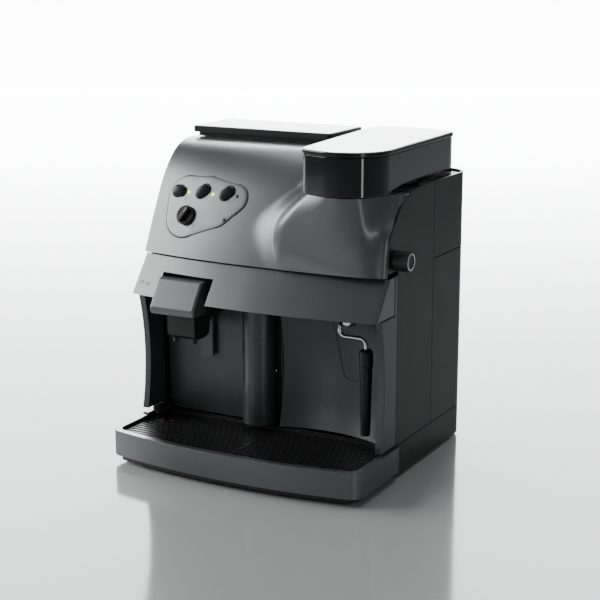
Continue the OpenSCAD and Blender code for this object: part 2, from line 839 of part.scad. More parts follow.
module coffee_chute() {
  color(black) difference() {
    union() {
      block([14, -24, 214], [31.6, 0, 314]);
      block([-102, -24, 214], [31.6, 0, 228]);
    }
    block([16, -22, 216], [29.6, -2, 312]);
    block([27, -20, 298], [40, -4, 310]);
    block([-100, -22, 216], [29.6, -2, 226]);
    block([-100, -22, 210], [-82, -2, 220]);
  }
}

brew_at = [-91, -12];

module brew_group() {
  color([0.16, 0.16, 0.17]) difference() {
    union() {
      block([-125, -40, 134], [-57, 16, 160]);
      translate([brew_at[0], brew_at[1], 160]) cylinder(52, 25, 25);
      block([-57, -30, 136], [-48, 6, 156]);
    }
    translate([brew_at[0], brew_at[1], 150]) cylinder(80, 19, 19);
    translate([brew_at[0], brew_at[1], 130]) cylinder(30, 4, 4);
    translate([-60, brew_at[1], 146]) rotate([0, 90, 0]) cylinder(20, 4 + run, 4 + run);
  }
}

module brew_piston() {
  color([0.6, 0.6, 0.58]) translate([brew_at[0], brew_at[1], 0]) {
    translate([0, 0, 162]) cylinder(14, 19 - run, 19 - run);
    translate([0, 0, 138]) cylinder(24, 4 - run, 4 - run);
  }
}

module brew_gear() {
  color([0.85, 0.83, 0.75]) translate([-48, brew_at[1], 146]) rotate([0, 90, 0]) {
    translate([0, 0, -8]) cylinder(9, 4, 4);
    translate([0, 0, 0.6]) linear_extrude(7) union() {
      circle(18);
      for (a = [0:18:342]) rotate(a) translate([17, -1.6]) square([4, 3.2]);
    }
  }
}

module boiler() {
  color([0.7, 0.7, 0.72]) translate([104, 70, 0]) {
    translate([0, 0, 190]) cylinder(110, 30, 30);
    translate([0, 0, 240]) cylinder(5, 36, 36);
    translate([0, 0, 300]) cylinder(14, 9, 9);
    translate([0, 0, 176]) cylinder(14, 9, 9);
  }
}

module water_pump() {
  color([0.25, 0.25, 0.27]) {
    block([66, 20, 8.4], [140, 62, 62]);
    translate([103, 41, 62]) cylinder(34, 11, 11);
    translate([103, 41, 96]) cylinder(14, 4, 4);
  }
}

module power_board() {
  color([0.12, 0.35, 0.2]) {
    block([20, 128, 100], [140, 130, 230]);
    block([32, 98, 110], [78, 128, 150]);
    block([90, 112, 180], [120, 128, 214]);
  }
}

// ---------- water ----------

lid_pin = [105, left_top + 3.3];  // y and z of the tank cover's hinge

module water_tank() {
  color([0.6, 0.65, 0.7, 0.5]) difference() {
    union() {
      block([-150, 27, 216], [23, 103, left_top + 0.6]);
      for (x = LUGS) block([x - 4, 103, 366], [x + 4, 104.4, left_top]);
      for (x = LUGS) {
        block([x - 4, 96, left_top + 0.5], [x + 4, lid_pin[0], left_top + 5.4]);
        translate([x - 4, lid_pin[0], lid_pin[1]]) rotate([0, 90, 0]) cylinder(8, 2.4, 2.4);
      }
      translate([-63, 65, 206]) cylinder(10, 9, 9);
    }
    block([-147.6, 29.4, 218.4], [20.6, 95, left_top + 2]);
    for (x = LUGS) translate([x - 5, lid_pin[0], lid_pin[1]]) rotate([0, 90, 0])
      cylinder(10, 1.5 + run, 1.5 + run);
  }
}

module tank_cover() {
  color([0.75, 0.76, 0.77]) difference() {
    union() {
      translate([0, 0, left_top + 6]) linear_extrude(cover_h - left_top - 6)
        union() {
          translate([-161, 23]) square([194, 81]);
          translate([-157, 19]) square([186, 89]);
          for (x = [-157, 29], y = [23, 104]) translate([x, y]) circle(4);
        }
      block([-155, 24, left_top + 1], [27, 93, left_top + 6.01]);
      for (x = LUGS, s = [-1, 1]) translate([x + s * 7 - 2.4, 0, 0]) {
        translate([0, lid_pin[0], lid_pin[1]]) rotate([0, 90, 0]) cylinder(4.8, 2.3, 2.3);
        block([0, lid_pin[0] - 2, lid_pin[1]], [4.8, lid_pin[0] + 2, left_top + 6.2]);
      }
      for (x = LUGS) translate([x - 8, lid_pin[0], lid_pin[1]]) rotate([0, 90, 0])
        cylinder(16, 1.5, 1.5);
    }
    block([-151, 28, left_top], [23, 89, left_top + 5]);
  }
}

// ---------- mains ----------

module power_switch() {
  color(black) translate([-52, back_y - 3, 72]) rotate([90, 0, 90]) {
    translate([0, 0, -9.6]) rotate(5) linear_extrude(19.2)
      polygon([[-8, -6], [-8, 6], [0, 11.4], [3.4, 11.4], [1.4, 0], [3.4, -11.4], [0, -11.4]]);
    translate([-2, 0, -12]) cylinder(24, 1.5, 1.5);
  }
}

module power_inlet() {
  color(black) difference() {
    union() {
      block([-117, back_y, 55], [-75, back_y + 2, 89]);
      block([-112.6, back_y - 20, 60.4], [-79.4, back_y, 83.6]);
      block([-79.5, back_y - 20, 56], [-36, back_y - 3.4, 88]);
    }
    block([-62.4, back_y - 18, 59.4], [-41.6, back_y, 84.6]);
    translate([-65, back_y - 5, 72]) rotate([0, 90, 0]) cylinder(26, 1.5 + run, 1.5 + run);
    difference() {
      block([-109, back_y - 16, 63], [-83, back_y + 3, 81]);
      for (x = [-103, -96, -89])
        block([x - 1, back_y - 17, x == -96 ? 73 : 69], [x + 1, back_y - 4, x == -96 ? 77 : 73]);
    }
  }
}

base_pan();
rubber_feet();
front_frame();
front_post_left();
front_post_right();
side_panel_left();
side_panel_right();
rear_panel_lower();
rear_panel_upper();
upper_front_shell();
top_deck();
hopper_deck();
control_panel();
indicator_lamps();
control_board();
button_left();
button_middle();
button_right();
volume_knob();
dished_panel();
steam_pipe_cover();
hinge_pins();
door_fascia();
door_panel();
grip_column();
door_liner();
head_cover();
head_block();
head_nozzles();
dregs_container();
drip_tray();
tray_fascia();
drip_grill();
tray_float();
ball_seat();
steam_pipe();
frother_collar();
frother_sleeve();
steam_knob();
knob_ring();
valve_spindle();
steam_valve();
bean_hopper();
hopper_funnel();
hopper_lid();
grind_adjuster();
grinder_housing();
lower_burr();
grinder_motor();
coffee_chute();
brew_group();
brew_piston();
brew_gear();
boiler();
water_pump();
power_board();
water_tank();
tank_cover();
power_switch();
power_inlet();
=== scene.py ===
"""Looks of the counter-top bean-to-cup coffee machine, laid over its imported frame."""

import json
import logging
import math
from dataclasses import dataclass, field
from enum import Enum
from typing import Callable, Iterable, Sequence

import bmesh
import bpy
from mathutils import Matrix, Vector


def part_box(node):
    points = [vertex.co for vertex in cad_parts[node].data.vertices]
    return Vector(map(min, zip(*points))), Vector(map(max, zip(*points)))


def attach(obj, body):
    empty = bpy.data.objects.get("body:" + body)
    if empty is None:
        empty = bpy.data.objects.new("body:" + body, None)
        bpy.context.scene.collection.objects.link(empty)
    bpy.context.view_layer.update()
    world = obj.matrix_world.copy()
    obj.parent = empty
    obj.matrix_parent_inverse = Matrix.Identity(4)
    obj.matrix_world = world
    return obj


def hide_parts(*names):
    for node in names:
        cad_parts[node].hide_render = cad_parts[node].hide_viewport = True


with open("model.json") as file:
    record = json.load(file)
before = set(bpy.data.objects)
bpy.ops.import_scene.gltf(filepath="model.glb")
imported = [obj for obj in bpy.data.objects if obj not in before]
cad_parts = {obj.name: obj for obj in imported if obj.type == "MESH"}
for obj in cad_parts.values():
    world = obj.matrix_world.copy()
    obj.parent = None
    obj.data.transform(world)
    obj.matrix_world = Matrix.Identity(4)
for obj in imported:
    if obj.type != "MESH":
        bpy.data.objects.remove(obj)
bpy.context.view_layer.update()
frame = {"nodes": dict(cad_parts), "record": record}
LOG = logging.getLogger("coffee_machine")
MM = 0.001
BEHIND = (-0.479, 0.878)  # from the camera's side of the machine to the far one
SLOT_OF: dict[str, str] = {s["node"]: s["material_slot"] for s in frame["record"]["subparts"]}
BODY_OF: dict[str, str] = {
    n: b for b, ns in frame["record"]["behaviour"]["bodies"].items() for n in ns
}


# ---------------------------------------------------------------- shading

class Value:
    """One socket of a node tree; arithmetic on it adds the Math nodes."""

    def __init__(self, graph: "Graph", socket: bpy.types.NodeSocket) -> None:
        """Keeps the graph and the socket.

        Args:
            graph: The graph that the socket belongs to.
            socket: The output socket that holds the value.
        """
        self.graph = graph
        self.socket = socket

    def _math(self, operation: str, *others: "Value | float") -> "Value":
        """Adds a Math node.

        Args:
            operation: The node's operation.
            others: The operands after this one.

        Returns:
            The result as a value.
        """
        inputs = dict(enumerate((self, *others)))
        return self.graph.node("ShaderNodeMath", {"operation": operation}, inputs)

    def __add__(self, other: "Value | float") -> "Value":
        """This value plus another."""
        return self._math("ADD", other)

    __radd__ = __add__

    def __sub__(self, other: "Value | float") -> "Value":
        """This value less another."""
        return self._math("SUBTRACT", other)

    def __rsub__(self, other: float) -> "Value":
        """A number less this value."""
        return (self * -1.0) + other

    def __mul__(self, other: "Value | float") -> "Value":
        """This value times another."""
        return self._math("MULTIPLY", other)

    __rmul__ = __mul__

    def __truediv__(self, other: "Value | float") -> "Value":
        """This value over another."""
        return self._math("DIVIDE", other)

    def soft(self, low: float, high: float) -> "Value":
        """A smooth step between two levels.

        Args:
            low: The level that gives zero.
            high: The level that gives one.

        Returns:
            The stepped value.
        """
        return self.graph.node(
            "ShaderNodeMapRange", {"interpolation_type": "SMOOTHSTEP"},
            {"Value": self, "From Min": low, "From Max": high},
        )


class Graph:
    """The node tree of one material."""

    def __init__(self, name: str) -> None:
        """Makes an empty material.

        Args:
            name: The material's name.
        """
        self.material = bpy.data.materials.new(name)
        self.material.use_nodes = True
        self.tree = self.material.node_tree
        self.tree.nodes.clear()
        self.shader = self.tree.nodes.new("ShaderNodeBsdfPrincipled")
        output = self.tree.nodes.new("ShaderNodeOutputMaterial")
        self.tree.links.new(self.shader.outputs[0], output.inputs["Surface"])

    def node(self, kind: str, settings: dict | None = None, inputs: dict | None = None,
             output: int | str = 0) -> Value:
        """Adds a node.

        Args:
            kind: The node's type.
            settings: Properties set first; a ramp's stops are given as "stops".
            inputs: Values or links of its sockets, by name or number.
            output: The output to hand back.

        Returns:
            The chosen output.
        """
        made = self.tree.nodes.new(kind)
        for key, value in (settings or {}).items():
            if key == "stops":
                ramp = made.color_ramp
                for place, colour in value[2:]:
                    ramp.elements.new(place)
                for element, (place, colour) in zip(ramp.elements, sorted(value)):
                    element.position, element.color = place, (*colour, 1.0)
            else:
                setattr(made, key, value)
        for key, value in (inputs or {}).items():
            self.feed(made.inputs[key], value)
        return Value(self, made.outputs[output])

    def feed(self, socket: bpy.types.NodeSocket, value: object) -> None:
        """Sets or links one socket.

        Args:
            socket: The input.
            value: A Value to link, or a constant.
        """
        if isinstance(value, Value):
            self.tree.links.new(value.socket, socket)
        elif isinstance(value, tuple) and len(value) == 3 and socket.type == "RGBA":
            socket.default_value = (*value, 1.0)
        else:
            socket.default_value = value

    def shade(self, **inputs: object) -> None:
        """Sets sockets of the surface shader; underscores in names stand for spaces."""
        for key, value in inputs.items():
            self.feed(self.shader.inputs[key.replace("_", " ")], value)

    def place(self, scale: tuple[float, float, float] = (1.0, 1.0, 1.0)) -> Value:
        """Object coordinates, stretched.

        Args:
            scale: Factors along the three axes.

        Returns:
            The vector.
        """
        here = self.node("ShaderNodeTexCoord", output="Object")
        return self.node("ShaderNodeMapping", None, {"Vector": here, "Scale": scale})

    def noise(self, where: Value, scale: float, detail: float = 2.0) -> Value:
        """Smooth noise.

        Args:
            where: The vector it reads.
            scale: Cells to the metre.
            detail: How many finer layers it adds.

        Returns:
            The noise, around one half.
        """
        return self.node("ShaderNodeTexNoise", None,
                         {"Vector": where, "Scale": scale, "Detail": detail})

    def mix(self, factor: Value, low: tuple, high: tuple) -> Value:
        """A colour between two.

        Args:
            factor: Nought for the first, one for the second.
            low: The first colour.
            high: The second colour.

        Returns:
            The colour.
        """
        return self.node("ShaderNodeMix", {"data_type": "RGBA"},
                         {"Factor": factor, 6: low, 7: high}, output=2)

    def bump(self, height: Value, strength: float, depth_mm: float) -> Value:
        """A bumped normal.

        Args:
            height: The height pattern.
            strength: The strength from nought to one.
            depth_mm: The depth of a full step.

        Returns:
            The normal.
        """
        return self.node("ShaderNodeBump", None, {
            "Strength": strength, "Distance": depth_mm * MM, "Height": height})


Colour = tuple[float, float, float]


def tinted(colour: Colour, factor: float) -> Colour:
    """A colour made lighter or darker.

    Args:
        colour: The colour.
        factor: What each channel is multiplied by.

    Returns:
        The new colour.
    """
    return tuple(min(1.0, c * factor) for c in colour)


@dataclass(frozen=True)
class Finish:
    """A finish of the machine: its name and how rough and metallic it is."""

    name: str
    colour: Colour
    rough: float = 0.4
    metallic: float = 0.0

    def dress(self, graph: Graph) -> None:
        """Fills the material's graph; each kind of finish has its own."""
        raise NotImplementedError

    def material(self) -> bpy.types.Material:
        """Builds the material.

        Returns:
            The material.
        """
        graph = Graph(self.name)
        graph.shade(Metallic=self.metallic)
        self.dress(graph)
        graph.material.diffuse_color = (*self.colour, 1.0)
        return graph.material


@dataclass(frozen=True)
class Moulding(Finish):
    """Injection-moulded plastic with a spark-eroded grain."""

    grain: float = 1400.0
    depth_mm: float = 0.03
    coat: float = 0.0
    swing: float = 0.06

    def dress(self, graph: Graph) -> None:
        """Grain in the normal, and slow changes of gloss and shade."""
        here = graph.place()
        fine = graph.noise(here, self.grain, 3.0)
        broad = graph.noise(here, 23.0, 4.0)
        flow = graph.noise(graph.place((1.0, 1.0, 0.25)), 60.0, 2.0)
        tone = broad * 0.6 + flow * 0.4
        graph.shade(
            Base_Color=graph.mix(tone, tinted(self.colour, 0.86), tinted(self.colour, 1.14)),
            Roughness=(tone - 0.5) * self.swing * 2 + (fine - 0.5) * self.swing + self.rough,
            Normal=graph.bump(fine, 0.35, self.depth_mm),
            Coat_Weight=self.coat, Coat_Roughness=0.05,
        )


@dataclass(frozen=True)
class Lacquer(Finish):
    """Metallic lacquer: fine flakes under a satin top coat."""

    flake: float = 2600.0
    coat: float = 0.25

    def dress(self, graph: Graph) -> None:
        """Flakes in colour and normal, faint orange peel and slow drift of gloss."""
        here = graph.place()
        flakes = graph.node("ShaderNodeTexVoronoi", None,
                            {"Vector": here, "Scale": self.flake}, output="Color")
        level = graph.node("ShaderNodeSeparateColor", None, {"Color": flakes})
        peel = graph.noise(here, 330.0, 2.0)
        broad = graph.noise(here, 14.0, 3.0)
        tone = level * 0.55 + broad * 0.45
        graph.shade(
            Base_Color=graph.mix(tone, tinted(self.colour, 0.80), tinted(self.colour, 1.20)),
            Roughness=(broad - 0.5) * 0.08 + (level - 0.5) * 0.06 + self.rough,
            Normal=graph.bump(peel * 0.8 + level * 0.2, 0.25, 0.03),
            Coat_Weight=self.coat, Coat_Roughness=0.18,
        )


@dataclass(frozen=True)
class Metal(Finish):
    """Bare metal with the lines of its last working."""

    stretch: tuple[float, float, float] = (1.0, 1.0, 0.04)
    lines: float = 1500.0
    strength: float = 0.25

    def dress(self, graph: Graph) -> None:
        """Lines in the normal and gloss, and faint stains."""
        lines = graph.noise(graph.place(self.stretch), self.lines, 3.0)
        stain = graph.noise(graph.place(), 45.0, 4.0)
        graph.shade(
            Base_Color=graph.mix(stain, tinted(self.colour, 0.9), tinted(self.colour, 1.06)),
            Roughness=(lines - 0.5) * 0.16 + (stain - 0.5) * 0.10 + self.rough,
            Normal=graph.bump(lines, self.strength, 0.02),
        )


@dataclass(frozen=True)
class Clear(Finish):
    """Clear or smoked moulding with a faint ripple."""

    alpha: float = 0.5

    def dress(self, graph: Graph) -> None:
        """A see-through gloss whose surface ripples a little."""
        here = graph.place()
        ripple = graph.noise(here, 70.0, 2.0)
        haze = graph.noise(here, 12.0, 3.0)
        graph.shade(
            Base_Color=graph.mix(haze, tinted(self.colour, 0.9), tinted(self.colour, 1.1)),
            Roughness=(haze - 0.5) * 0.05 + self.rough,
            Normal=graph.bump(ripple, 0.05, 0.02),
            Alpha=(haze - 0.5) * 0.06 + self.alpha, Coat_Weight=0.6, Coat_Roughness=0.03,
        )


@dataclass(frozen=True)
class Lamp(Finish):
    """A lamp window, lit or dark."""

    glow: float = 0.0

    def dress(self, graph: Graph) -> None:
        """A glow that is brighter in the middle of the diffuser's grain."""
        grain = graph.noise(graph.place(), 1500.0, 2.0)
        lit = graph.mix(grain, tinted(self.colour, 0.8), tinted(self.colour, 1.2))
        graph.shade(Base_Color=lit, Emission_Color=lit, Emission_Strength=self.glow,
                    Roughness=(grain - 0.5) * 0.1 + self.rough)


@dataclass(frozen=True)
class Sweep(Finish):
    """A glossy studio table whose own glow rises behind the object: painted light in place of
    lamps lighting the sweep.
    """

    glow: float = 6.0
    apex: float = 1.73

    def dress(self, graph: Graph) -> None:
        """A faint unevenness, and painted light: an emission that rises behind the object."""
        here = graph.place()
        x, y = (graph.node("ShaderNodeSeparateXYZ", None, {"Vector": here}, output=i)
                for i in (0, 1))
        a, b = BEHIND
        back, aside = x * a + y * b, x * b - y * a
        broad = graph.noise(here, 3.0, 3.0)
        spread = aside / (back + self.apex)
        # painted light: the floor emits more far behind the object, in a wedge seen past it,
        # in place of lamps lighting the sweep there
        lit = back.soft(0.3, 3.0) * (1.0 - (spread * spread).soft(0.055, 0.11))
        graph.shade(
            Base_Color=graph.mix(broad, tinted(self.colour, 0.97), tinted(self.colour, 1.03)),
            Roughness=(broad - 0.5) * 0.03 + self.rough,
            Emission_Color=graph.mix(lit, (0.0, 0.0, 0.0), (0.95, 0.98, 1.0)),
            Emission_Strength=self.glow)


@dataclass(frozen=True)
class Circuit(Finish):
    """Circuit board lacquer over copper tracks."""

    def dress(self, graph: Graph) -> None:
        """Square-cut tracks showing through green lacquer."""
        here = graph.place()
        cells = graph.node("ShaderNodeTexVoronoi",
                           {"distance": "CHEBYCHEV", "feature": "F1"},
                           {"Vector": here, "Scale": 260.0})
        track = cells.soft(0.42, 0.5)
        graph.shade(
            Base_Color=graph.mix(track, self.colour, tinted(self.colour, 2.1)),
            Roughness=track * 0.15 + self.rough, Normal=graph.bump(track, 0.4, 0.05))


class Slot(Enum):
    """The finishes by the slots of the record."""

    PAINTED_GRAPHITE = Lacquer("painted_graphite", (0.155, 0.160, 0.162), 0.36, 0.75)
    GRAPHITE_PLASTIC = Lacquer("graphite_plastic", (0.095, 0.099, 0.102), 0.36, 0.60,
                               flake=2000.0, coat=0.1)
    BLACK_SATIN = Moulding("black_satin", (0.012, 0.012, 0.013), 0.40)
    BLACK_GLOSS = Moulding("black_gloss", (0.004, 0.004, 0.005), 0.20, depth_mm=0.0005,
                           coat=0.2, swing=0.02)
    TINTED_CLEAR = Clear("tinted_clear", (0.006, 0.006, 0.007), 0.06, alpha=0.90)
    CLEAR_TANK = Clear("clear_tank", (0.55, 0.62, 0.66), 0.08, alpha=0.35)
    SILVER_PLASTIC = Lacquer("silver_plastic", (0.52, 0.53, 0.54), 0.30, 0.35, coat=0.4)
    RUBBER = Moulding("rubber", (0.02, 0.02, 0.02), 0.75, depth_mm=0.06)
    BRIGHT_STEEL = Metal("bright_steel", (0.66, 0.66, 0.65), 0.16, 1.0, strength=0.08)
    HARD_STEEL = Metal("hard_steel", (0.45, 0.45, 0.46), 0.32, 1.0)
    BRASS = Metal("brass", (0.72, 0.53, 0.26), 0.30, 1.0, stretch=(0.04, 1.0, 1.0))
    CAST_ALUMINIUM = Metal("cast_aluminium", (0.55, 0.55, 0.56), 0.48, 1.0,
                           stretch=(1.0, 1.0, 1.0), lines=500.0, strength=0.5)
    BOARD_GREEN = Circuit("board_green", (0.02, 0.12, 0.045), 0.35)
    LAMP_GREEN = Lamp("lamp_green", (0.35, 1.0, 0.05), 0.3, glow=4.0)
    IVORY_PLASTIC = Moulding("ivory_plastic", (0.62, 0.58, 0.46), 0.45)
    FLOAT_RED = Moulding("float_red", (0.45, 0.02, 0.015), 0.4)
    CHROME = Metal("chrome", (0.82, 0.82, 0.83), 0.07, 1.0, strength=0.03)


class Extra(Enum):
    """Finishes of small things that the record gives no slot of their own."""

    LAMP_DARK = Lamp("lamp_dark", (0.05, 0.012, 0.01), 0.25)
    WHITE_INK = Moulding("white_ink", (0.62, 0.63, 0.62), 0.5)
    # painted shade: near-black laid in the groove round the control plate and the gaps round
    # the buttons
    GROOVE = Moulding("groove_black", (0.004, 0.004, 0.004), 0.7)
    FLOOR = Sweep("floor", (0.46, 0.475, 0.47), 0.10)
    BACKDROP = Lamp("backdrop", (0.94, 0.97, 1.0), 0.9, glow=11.0)


_MADE: dict[str, bpy.types.Material] = {}


def material(kind: Slot | Extra) -> bpy.types.Material:
    """The material of a finish, made once.

    Args:
        kind: The finish.

    Returns:
        The material.
    """
    name = kind.value.name
    if name not in _MADE:
        _MADE[name] = kind.value.material()
    return _MADE[name]


def slot_named(name: str) -> Slot:
    """The finish of a record slot.

    Args:
        name: The slot's name.

    Returns:
        The finish.
    """
    return next(s for s in Slot if s.value.name == name)


# ---------------------------------------------------------------- shapes

Point2 = tuple[float, float]


def smooth(t: float) -> float:
    """Smooth step of a number between nought and one."""
    t = min(1.0, max(0.0, t))
    return t * t * (3 - 2 * t)


def along(points: Sequence[Point2], x: float) -> float:
    """Reads a curve given by points, with straight lines between them.

    Args:
        points: The points, in rising order of their first value.
        x: Where to read it.

    Returns:
        The second value there.
    """
    if x <= points[0][0]:
        return points[0][1]
    for (x0, y0), (x1, y1) in zip(points, points[1:]):
        if x <= x1:
            return y0 + (y1 - y0) * (x - x0) / (x1 - x0)
    return points[-1][1]


def rounded_path(points: Sequence[Point2], steps: int = 6) -> list[Point2]:
    """A smooth curve through points.

    Args:
        points: The points it passes through.
        steps: Pieces between two of them.

    Returns:
        The finer points.
    """
    out: list[Point2] = []
    ends = [points[0], *points, points[-1]]
    for i in range(1, len(ends) - 2):
        p0, p1, p2, p3 = (Vector(p) for p in ends[i - 1:i + 3])
        for k in range(steps):
            t = k / steps
            q = 0.5 * ((2 * p1) + (p2 - p0) * t + (2 * p0 - 5 * p1 + 4 * p2 - p3) * t * t
                       + (3 * p1 - p0 - 3 * p2 + p3) * t * t * t)
            out.append((q.x, q.y))
    out.append(tuple(points[-1]))
    return out


def hull_of(circles: Iterable[tuple[float, float, float]], grow: float = 0.0,
            sides: int = 96) -> list[Point2]:
    """Outline round several circles, anticlockwise.

    Args:
        circles: Centre and radius of each.
        grow: Added to each radius.
        sides: Points on each circle.

    Returns:
        The outline's points.
    """
    cloud = sorted({
        (round(x + (r + grow) * math.cos(2 * math.pi * i / sides), 4),
         round(y + (r + grow) * math.sin(2 * math.pi * i / sides), 4))
        for x, y, r in circles for i in range(sides)})

    def chain(points: Iterable[Point2]) -> list[Point2]:
        """One side of the outline."""
        out: list[Point2] = []
        for p in points:
            while len(out) > 1 and (
                (out[-1][0] - out[-2][0]) * (p[1] - out[-2][1])
                - (out[-1][1] - out[-2][1]) * (p[0] - out[-2][0])) <= 1e-9:
                out.pop()
            out.append(p)
        return out[:-1]

    return chain(cloud) + chain(reversed(cloud))


class Form:
    """A mesh in the making, in millimetres."""

    def __init__(self) -> None:
        """Starts empty."""
        self.bm = bmesh.new()

    def copy_of(self, node: str) -> "Form":
        """Takes a CAD node's mesh, welds it and clears the flat faces' inner edges.

        Args:
            node: The node's name.

        Returns:
            This form.
        """
        self.bm.from_mesh(frame["nodes"][node].data)
        bmesh.ops.scale(self.bm, vec=(1000, 1000, 1000), verts=self.bm.verts)
        bmesh.ops.remove_doubles(self.bm, verts=self.bm.verts, dist=0.004)
        bmesh.ops.dissolve_limit(self.bm, angle_limit=math.radians(0.6),
                                 verts=self.bm.verts, edges=self.bm.edges)
        return self

    def soften(self, width: float, segments: int = 3, above: float = 32.0,
               where: Callable[[Vector], bool] | None = None) -> "Form":
        """Rounds the edges.

        Args:
            width: The bevel's width.
            segments: Faces across it.
            above: The least angle between two faces that counts as an edge, in degrees.
            where: A test on an edge's middle, or None for all edges.

        Returns:
            This form.
        """
        edges = [
            e for e in self.bm.edges
            if len(e.link_faces) == 2 and e.calc_face_angle(0.0) > math.radians(above)
            and (where is None or where((e.verts[0].co + e.verts[1].co) / 2))]
        if edges and width > 0:
            bmesh.ops.bevel(self.bm, geom=edges, offset=width, affect="EDGES",
                            segments=segments, profile=0.5, material=-1,
                            clamp_overlap=True)
        return self

    def box(self, low: Sequence[float], high: Sequence[float],
            turn: Matrix | None = None) -> "Form":
        """A block between two corners.

        Args:
            low: The lowest corner.
            high: The highest corner.
            turn: Where its own frame lies, or None.

        Returns:
            This form.
        """
        low, high = Vector(low), Vector(high)
        size = Matrix.Diagonal((*(high - low), 1.0))
        place = Matrix.Translation((low + high) / 2) @ size
        bmesh.ops.create_cube(self.bm, size=1.0, matrix=(turn or Matrix()) @ place)
        return self

    def prism(self, outline: Sequence[Point2], low: float, high: float,
              place: Matrix | None = None) -> "Form":
        """A flat outline pulled up into a solid.

        Args:
            outline: The outline's points.
            low: Where it starts along its own third axis.
            high: Where it ends.
            place: Where its own frame lies, or None.

        Returns:
            This form.
        """
        place = place or Matrix()
        ring = [self.bm.verts.new(place @ Vector((x, y, low))) for x, y in outline]
        face = self.bm.faces.new(ring)
        pulled = bmesh.ops.extrude_face_region(self.bm, geom=[face])["geom"]
        step = place.to_3x3() @ Vector((0, 0, high - low))
        bmesh.ops.translate(self.bm, vec=step,
                            verts=[g for g in pulled if isinstance(g, bmesh.types.BMVert)])
        return self

    def spin(self, profile: Sequence[Point2], centre: Sequence[float],
             axis: Sequence[float], steps: int = 64) -> "Form":
        """Turns a profile of (radius, height) points right round an axis.

        Args:
            profile: The points.
            centre: Where the axis starts.
            axis: The axis.
            steps: Faces round it.

        Returns:
            This form.
        """
        centre, axis = Vector(centre), Vector(axis).normalized()
        side = axis.orthogonal().normalized()
        ring = [self.bm.verts.new(centre + side * r + axis * h) for r, h in profile]
        edges = [self.bm.edges.new(pair) for pair in zip(ring, ring[1:])]
        bmesh.ops.spin(self.bm, geom=[*ring, *edges], cent=centre, axis=axis,
                       angle=2 * math.pi, steps=steps, use_merge=True)
        bmesh.ops.remove_doubles(self.bm, verts=self.bm.verts, dist=0.001)
        return self

    def lattice(self, columns: Sequence[float], rows: Sequence[float],
                where: Callable[[float, float], Sequence[float]]) -> list[bmesh.types.BMVert]:
        """A grid laid over a surface.

        Args:
            columns: The values along it.
            rows: The values up it.
            where: Gives the place of a column and a row.

        Returns:
            The grid's vertices.
        """
        nx, ny = len(columns) - 1, len(rows) - 1
        made = bmesh.ops.create_grid(self.bm, x_segments=nx, y_segments=ny, size=1.0)["verts"]
        for v in made:
            i = round((v.co.x + 1) / 2 * nx)
            j = round((v.co.y + 1) / 2 * ny)
            v.co = Vector(where(columns[i], rows[j]))
        return made

    def settled(self) -> "Form":
        """Welds the seams and turns every face outwards.

        Returns:
            This form.
        """
        bmesh.ops.remove_doubles(self.bm, verts=self.bm.verts, dist=0.002)
        bmesh.ops.recalc_face_normals(self.bm, faces=self.bm.faces)
        return self

    def facing_front(self) -> "Form":
        """Settles an open sheet and turns it towards the front of the machine.

        Returns:
            This form.
        """
        self.settled()
        if sum(f.normal.y * f.calc_area() for f in self.bm.faces) > 0:
            bmesh.ops.reverse_faces(self.bm, faces=self.bm.faces)
        return self

    def piece(self, name: str, finish: Slot | Extra, body: str, *nodes: str,
              sharp: float = 38.0, wall: float = 0.0, edge: float = 0.0,
              even: bool = True) -> bpy.types.Object:
        """Makes the object and lets it ride on its body.

        Args:
            name: The piece's name.
            finish: Its finish.
            body: The body that it rides on.
            nodes: The CAD nodes that it stands for.
            sharp: Edges over this angle stay sharp, in degrees.
            wall: Thickness given to a sheet, inwards.
            edge: Rounding of the edges once it has its thickness.
            even: True to weight the normals by the faces' size.

        Returns:
            The object.
        """
        for face in self.bm.faces:
            face.smooth = True
        for e in self.bm.edges:
            if len(e.link_faces) == 2 and e.calc_face_angle(0.0) > math.radians(sharp):
                e.smooth = False
        bmesh.ops.scale(self.bm, vec=(MM, MM, MM), verts=self.bm.verts)
        mesh = bpy.data.meshes.new(name)
        self.bm.to_mesh(mesh)
        self.bm.free()
        obj = bpy.data.objects.new(name, mesh)
        bpy.context.scene.collection.objects.link(obj)
        mesh.materials.append(material(finish))
        if wall:
            solid = obj.modifiers.new("wall", "SOLIDIFY")
            solid.thickness, solid.offset = wall * MM, -1.0
        if edge:
            bevel = obj.modifiers.new("edge", "BEVEL")
            bevel.width, bevel.segments = edge * MM, 3
            bevel.limit_method, bevel.angle_limit = "ANGLE", math.radians(40)
        if even:
            weighted = obj.modifiers.new("even", "WEIGHTED_NORMAL")
            weighted.keep_sharp = True
        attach(obj, body)
        if nodes:
            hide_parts(*nodes)
        LOG.info("%s: %d faces, on %s", name, len(mesh.polygons), body)
        return obj


def refine(node: str, width: float = 0.6, segments: int = 3) -> bpy.types.Object:
    """A moulded version of a CAD node, its edges rounded as a mould leaves them.

    Args:
        node: The node's name.
        width: The rounding.
        segments: Faces across the rounding.

    Returns:
        The object.
    """
    form = Form().copy_of(node).soften(width, segments)
    return form.piece(node + "_skin", slot_named(SLOT_OF[node]), BODY_OF[node], node)


# ---------------------------------------------------------------- housing

